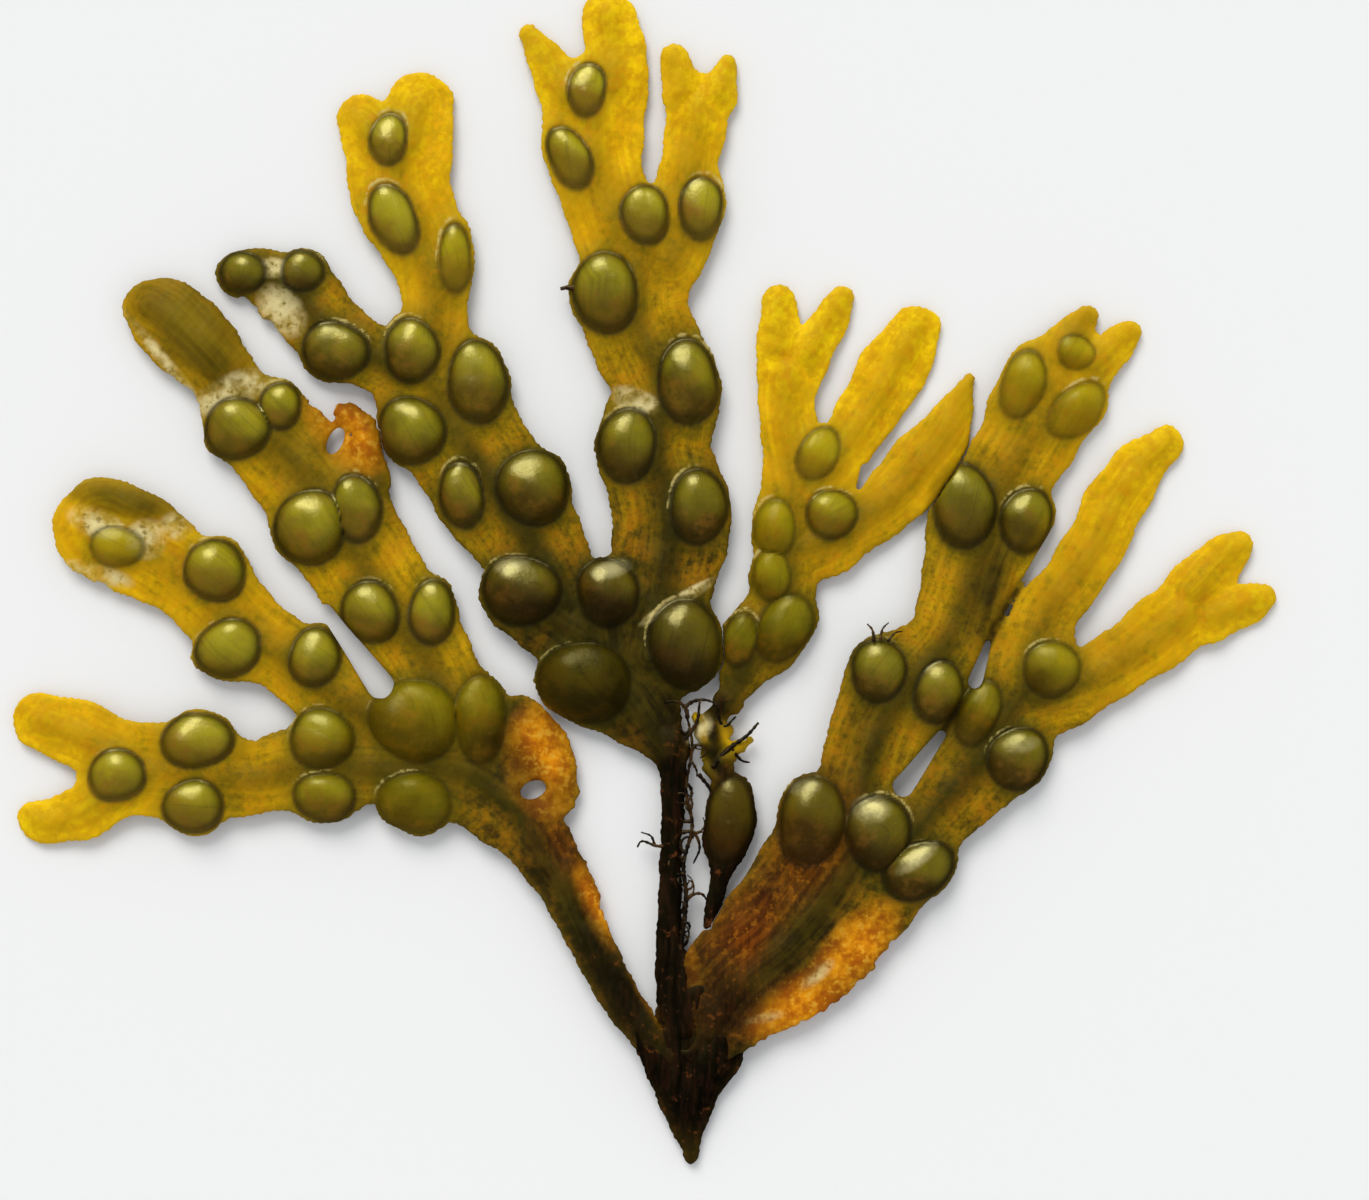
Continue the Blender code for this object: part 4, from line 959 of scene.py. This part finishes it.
def curled_twigs():
    """Fine curls that grow from the long twig beside the middle stem, placed by a seeded rule."""
    chance = random.Random(CURL_SEED)
    stalk = spline(TWIGS[0][1], CURVE_STEP)
    routes = []
    for index in range(CURL_COUNT):
        x, y, z = stalk[int(index * (len(stalk) - 1) / (CURL_COUNT - 1))]
        heading = chance.uniform(0, 2 * math.pi)
        bend = chance.choice((-1, 1)) * chance.uniform(0.2, 0.7)
        stride = chance.uniform(0.5, 0.9)
        points = [(x, y, z)]
        for _ in range(chance.randint(4, 7)):
            heading += bend
            x += stride * math.cos(heading)
            y += stride * math.sin(heading)
            points.append((x, y, z + chance.uniform(-0.5, 0.5)))
        routes.append((chance.uniform(0.4, 0.75), points))
    return routes


def build_twigs(name, routes, material):
    """Thin twigs as one mesh of tapering tubes with six sides."""
    verts, faces = [], []
    for thickness, points in routes:
        path = [Vector(point) for point in spline(points, TWIG_STEP)]
        first = len(verts)
        for index, point in enumerate(path):
            ahead = path[min(index + 1, len(path) - 1)] - path[max(index - 1, 0)]
            across = ahead.cross(Vector((0, 0, 1))).normalized()
            up = across.cross(ahead).normalized()
            taper = 1 - TWIG_TAPER * index / (len(path) - 1)
            radius = thickness / 2 * taper * (1 + TWIG_KNOTS * math.sin(2.7 * index))
            for side in range(TWIG_SIDES):
                turn = 2 * math.pi * side / TWIG_SIDES
                spot = point + radius * (across * math.cos(turn) + up * math.sin(turn))
                verts.append(((spot.x - PLAN_CENTRE[0]) * MM, (spot.y - PLAN_CENTRE[1]) * MM,
                              max(spot.z, 0) * MM))
        for ring in range(first, len(verts) - TWIG_SIDES, TWIG_SIDES):
            for side in range(TWIG_SIDES):
                a, b = ring + side, ring + (side + 1) % TWIG_SIDES
                faces.append((a, b, b + TWIG_SIDES, a + TWIG_SIDES))
        faces.append(tuple(reversed(range(first, first + TWIG_SIDES))))
        faces.append(tuple(range(len(verts) - TWIG_SIDES, len(verts))))
    piece = add_mesh(name, verts, faces, material)
    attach(piece, "root")


def add_light(name, direction, strength, spread, tint):
    """A soft sun whose light is spread over an angle given in degrees."""
    light = bpy.data.lights.new(name, "SUN")
    light.energy = strength
    light.angle = math.radians(spread)
    light.color = tint
    lamp = add_object(name, light)
    lamp.rotation_euler = (-Vector(direction)).to_track_quat("-Z", "Y").to_euler()
    return lamp


def build_studio():
    """Plain pale floor, soft light from the top left and the camera straight above."""
    scene = bpy.context.scene
    scene.view_settings.view_transform = "Standard"
    n = Nodes("pale_floor")
    n.set_shader("Base Color", FLOOR_COLOUR)
    n.set_shader("Roughness", 0.95)
    n.set_shader("Specular IOR Level", 0)
    corners = [(x * FLOOR_HALF * MM, y * FLOOR_HALF * MM, -FLOOR_DROP * MM)
               for x, y in ((-1, -1), (1, -1), (1, 1), (-1, 1))]
    floor = add_mesh("floor", corners, [(0, 1, 2, 3)], n.material)
    floor.visible_glossy = False

    world = bpy.data.worlds.new("studio")
    world.use_nodes = True
    background = world.node_tree.nodes["Background"]
    background.inputs["Color"].default_value = SKY_COLOUR
    background.inputs["Strength"].default_value = SKY_STRENGTH
    scene.world = world
    world.cycles_visibility.glossy = False
    key = add_light("key", **KEY)
    key.visible_glossy = False
    sheen = add_light("sheen", **SHEEN)
    sheen.visible_diffuse = False
    sheen.visible_transmission = False

    centre = [(PHOTO_CENTRE[axis] - PLAN_CENTRE[axis]) * MM for axis in (0, 1)]
    distance = PHOTO_WIDTH * MM * LENS / SENSOR
    data = bpy.data.cameras.new("camera")
    data.lens = LENS
    data.sensor_width = SENSOR
    data.clip_start = 0.01
    camera = add_object("camera", data)
    camera.location = (*centre, FOCUS_HEIGHT * MM + distance)
    scene.camera = camera


def main():
    blade = frond_material()
    holdfast = Cluster(HOLDFAST)
    left = Cluster(LEFT)
    middle = Cluster(MIDDLE, (left,))
    small = Cluster(SMALL, (middle,))
    right = Cluster(RIGHT, (small, middle))
    clusters = {"holdfast": holdfast, "left": left, "middle": middle, "small": small, "right": right}
    for name, cluster in clusters.items():
        nodes = [branch.name for branch in cluster.branches if branch.name not in FINE_BRANCHES]
        build_piece("seaweed_" + name, cluster, blade, nodes)
    build_twigs("seaweed_twigs", list(TWIGS) + curled_twigs(), twig_material())
    build_studio()


main()
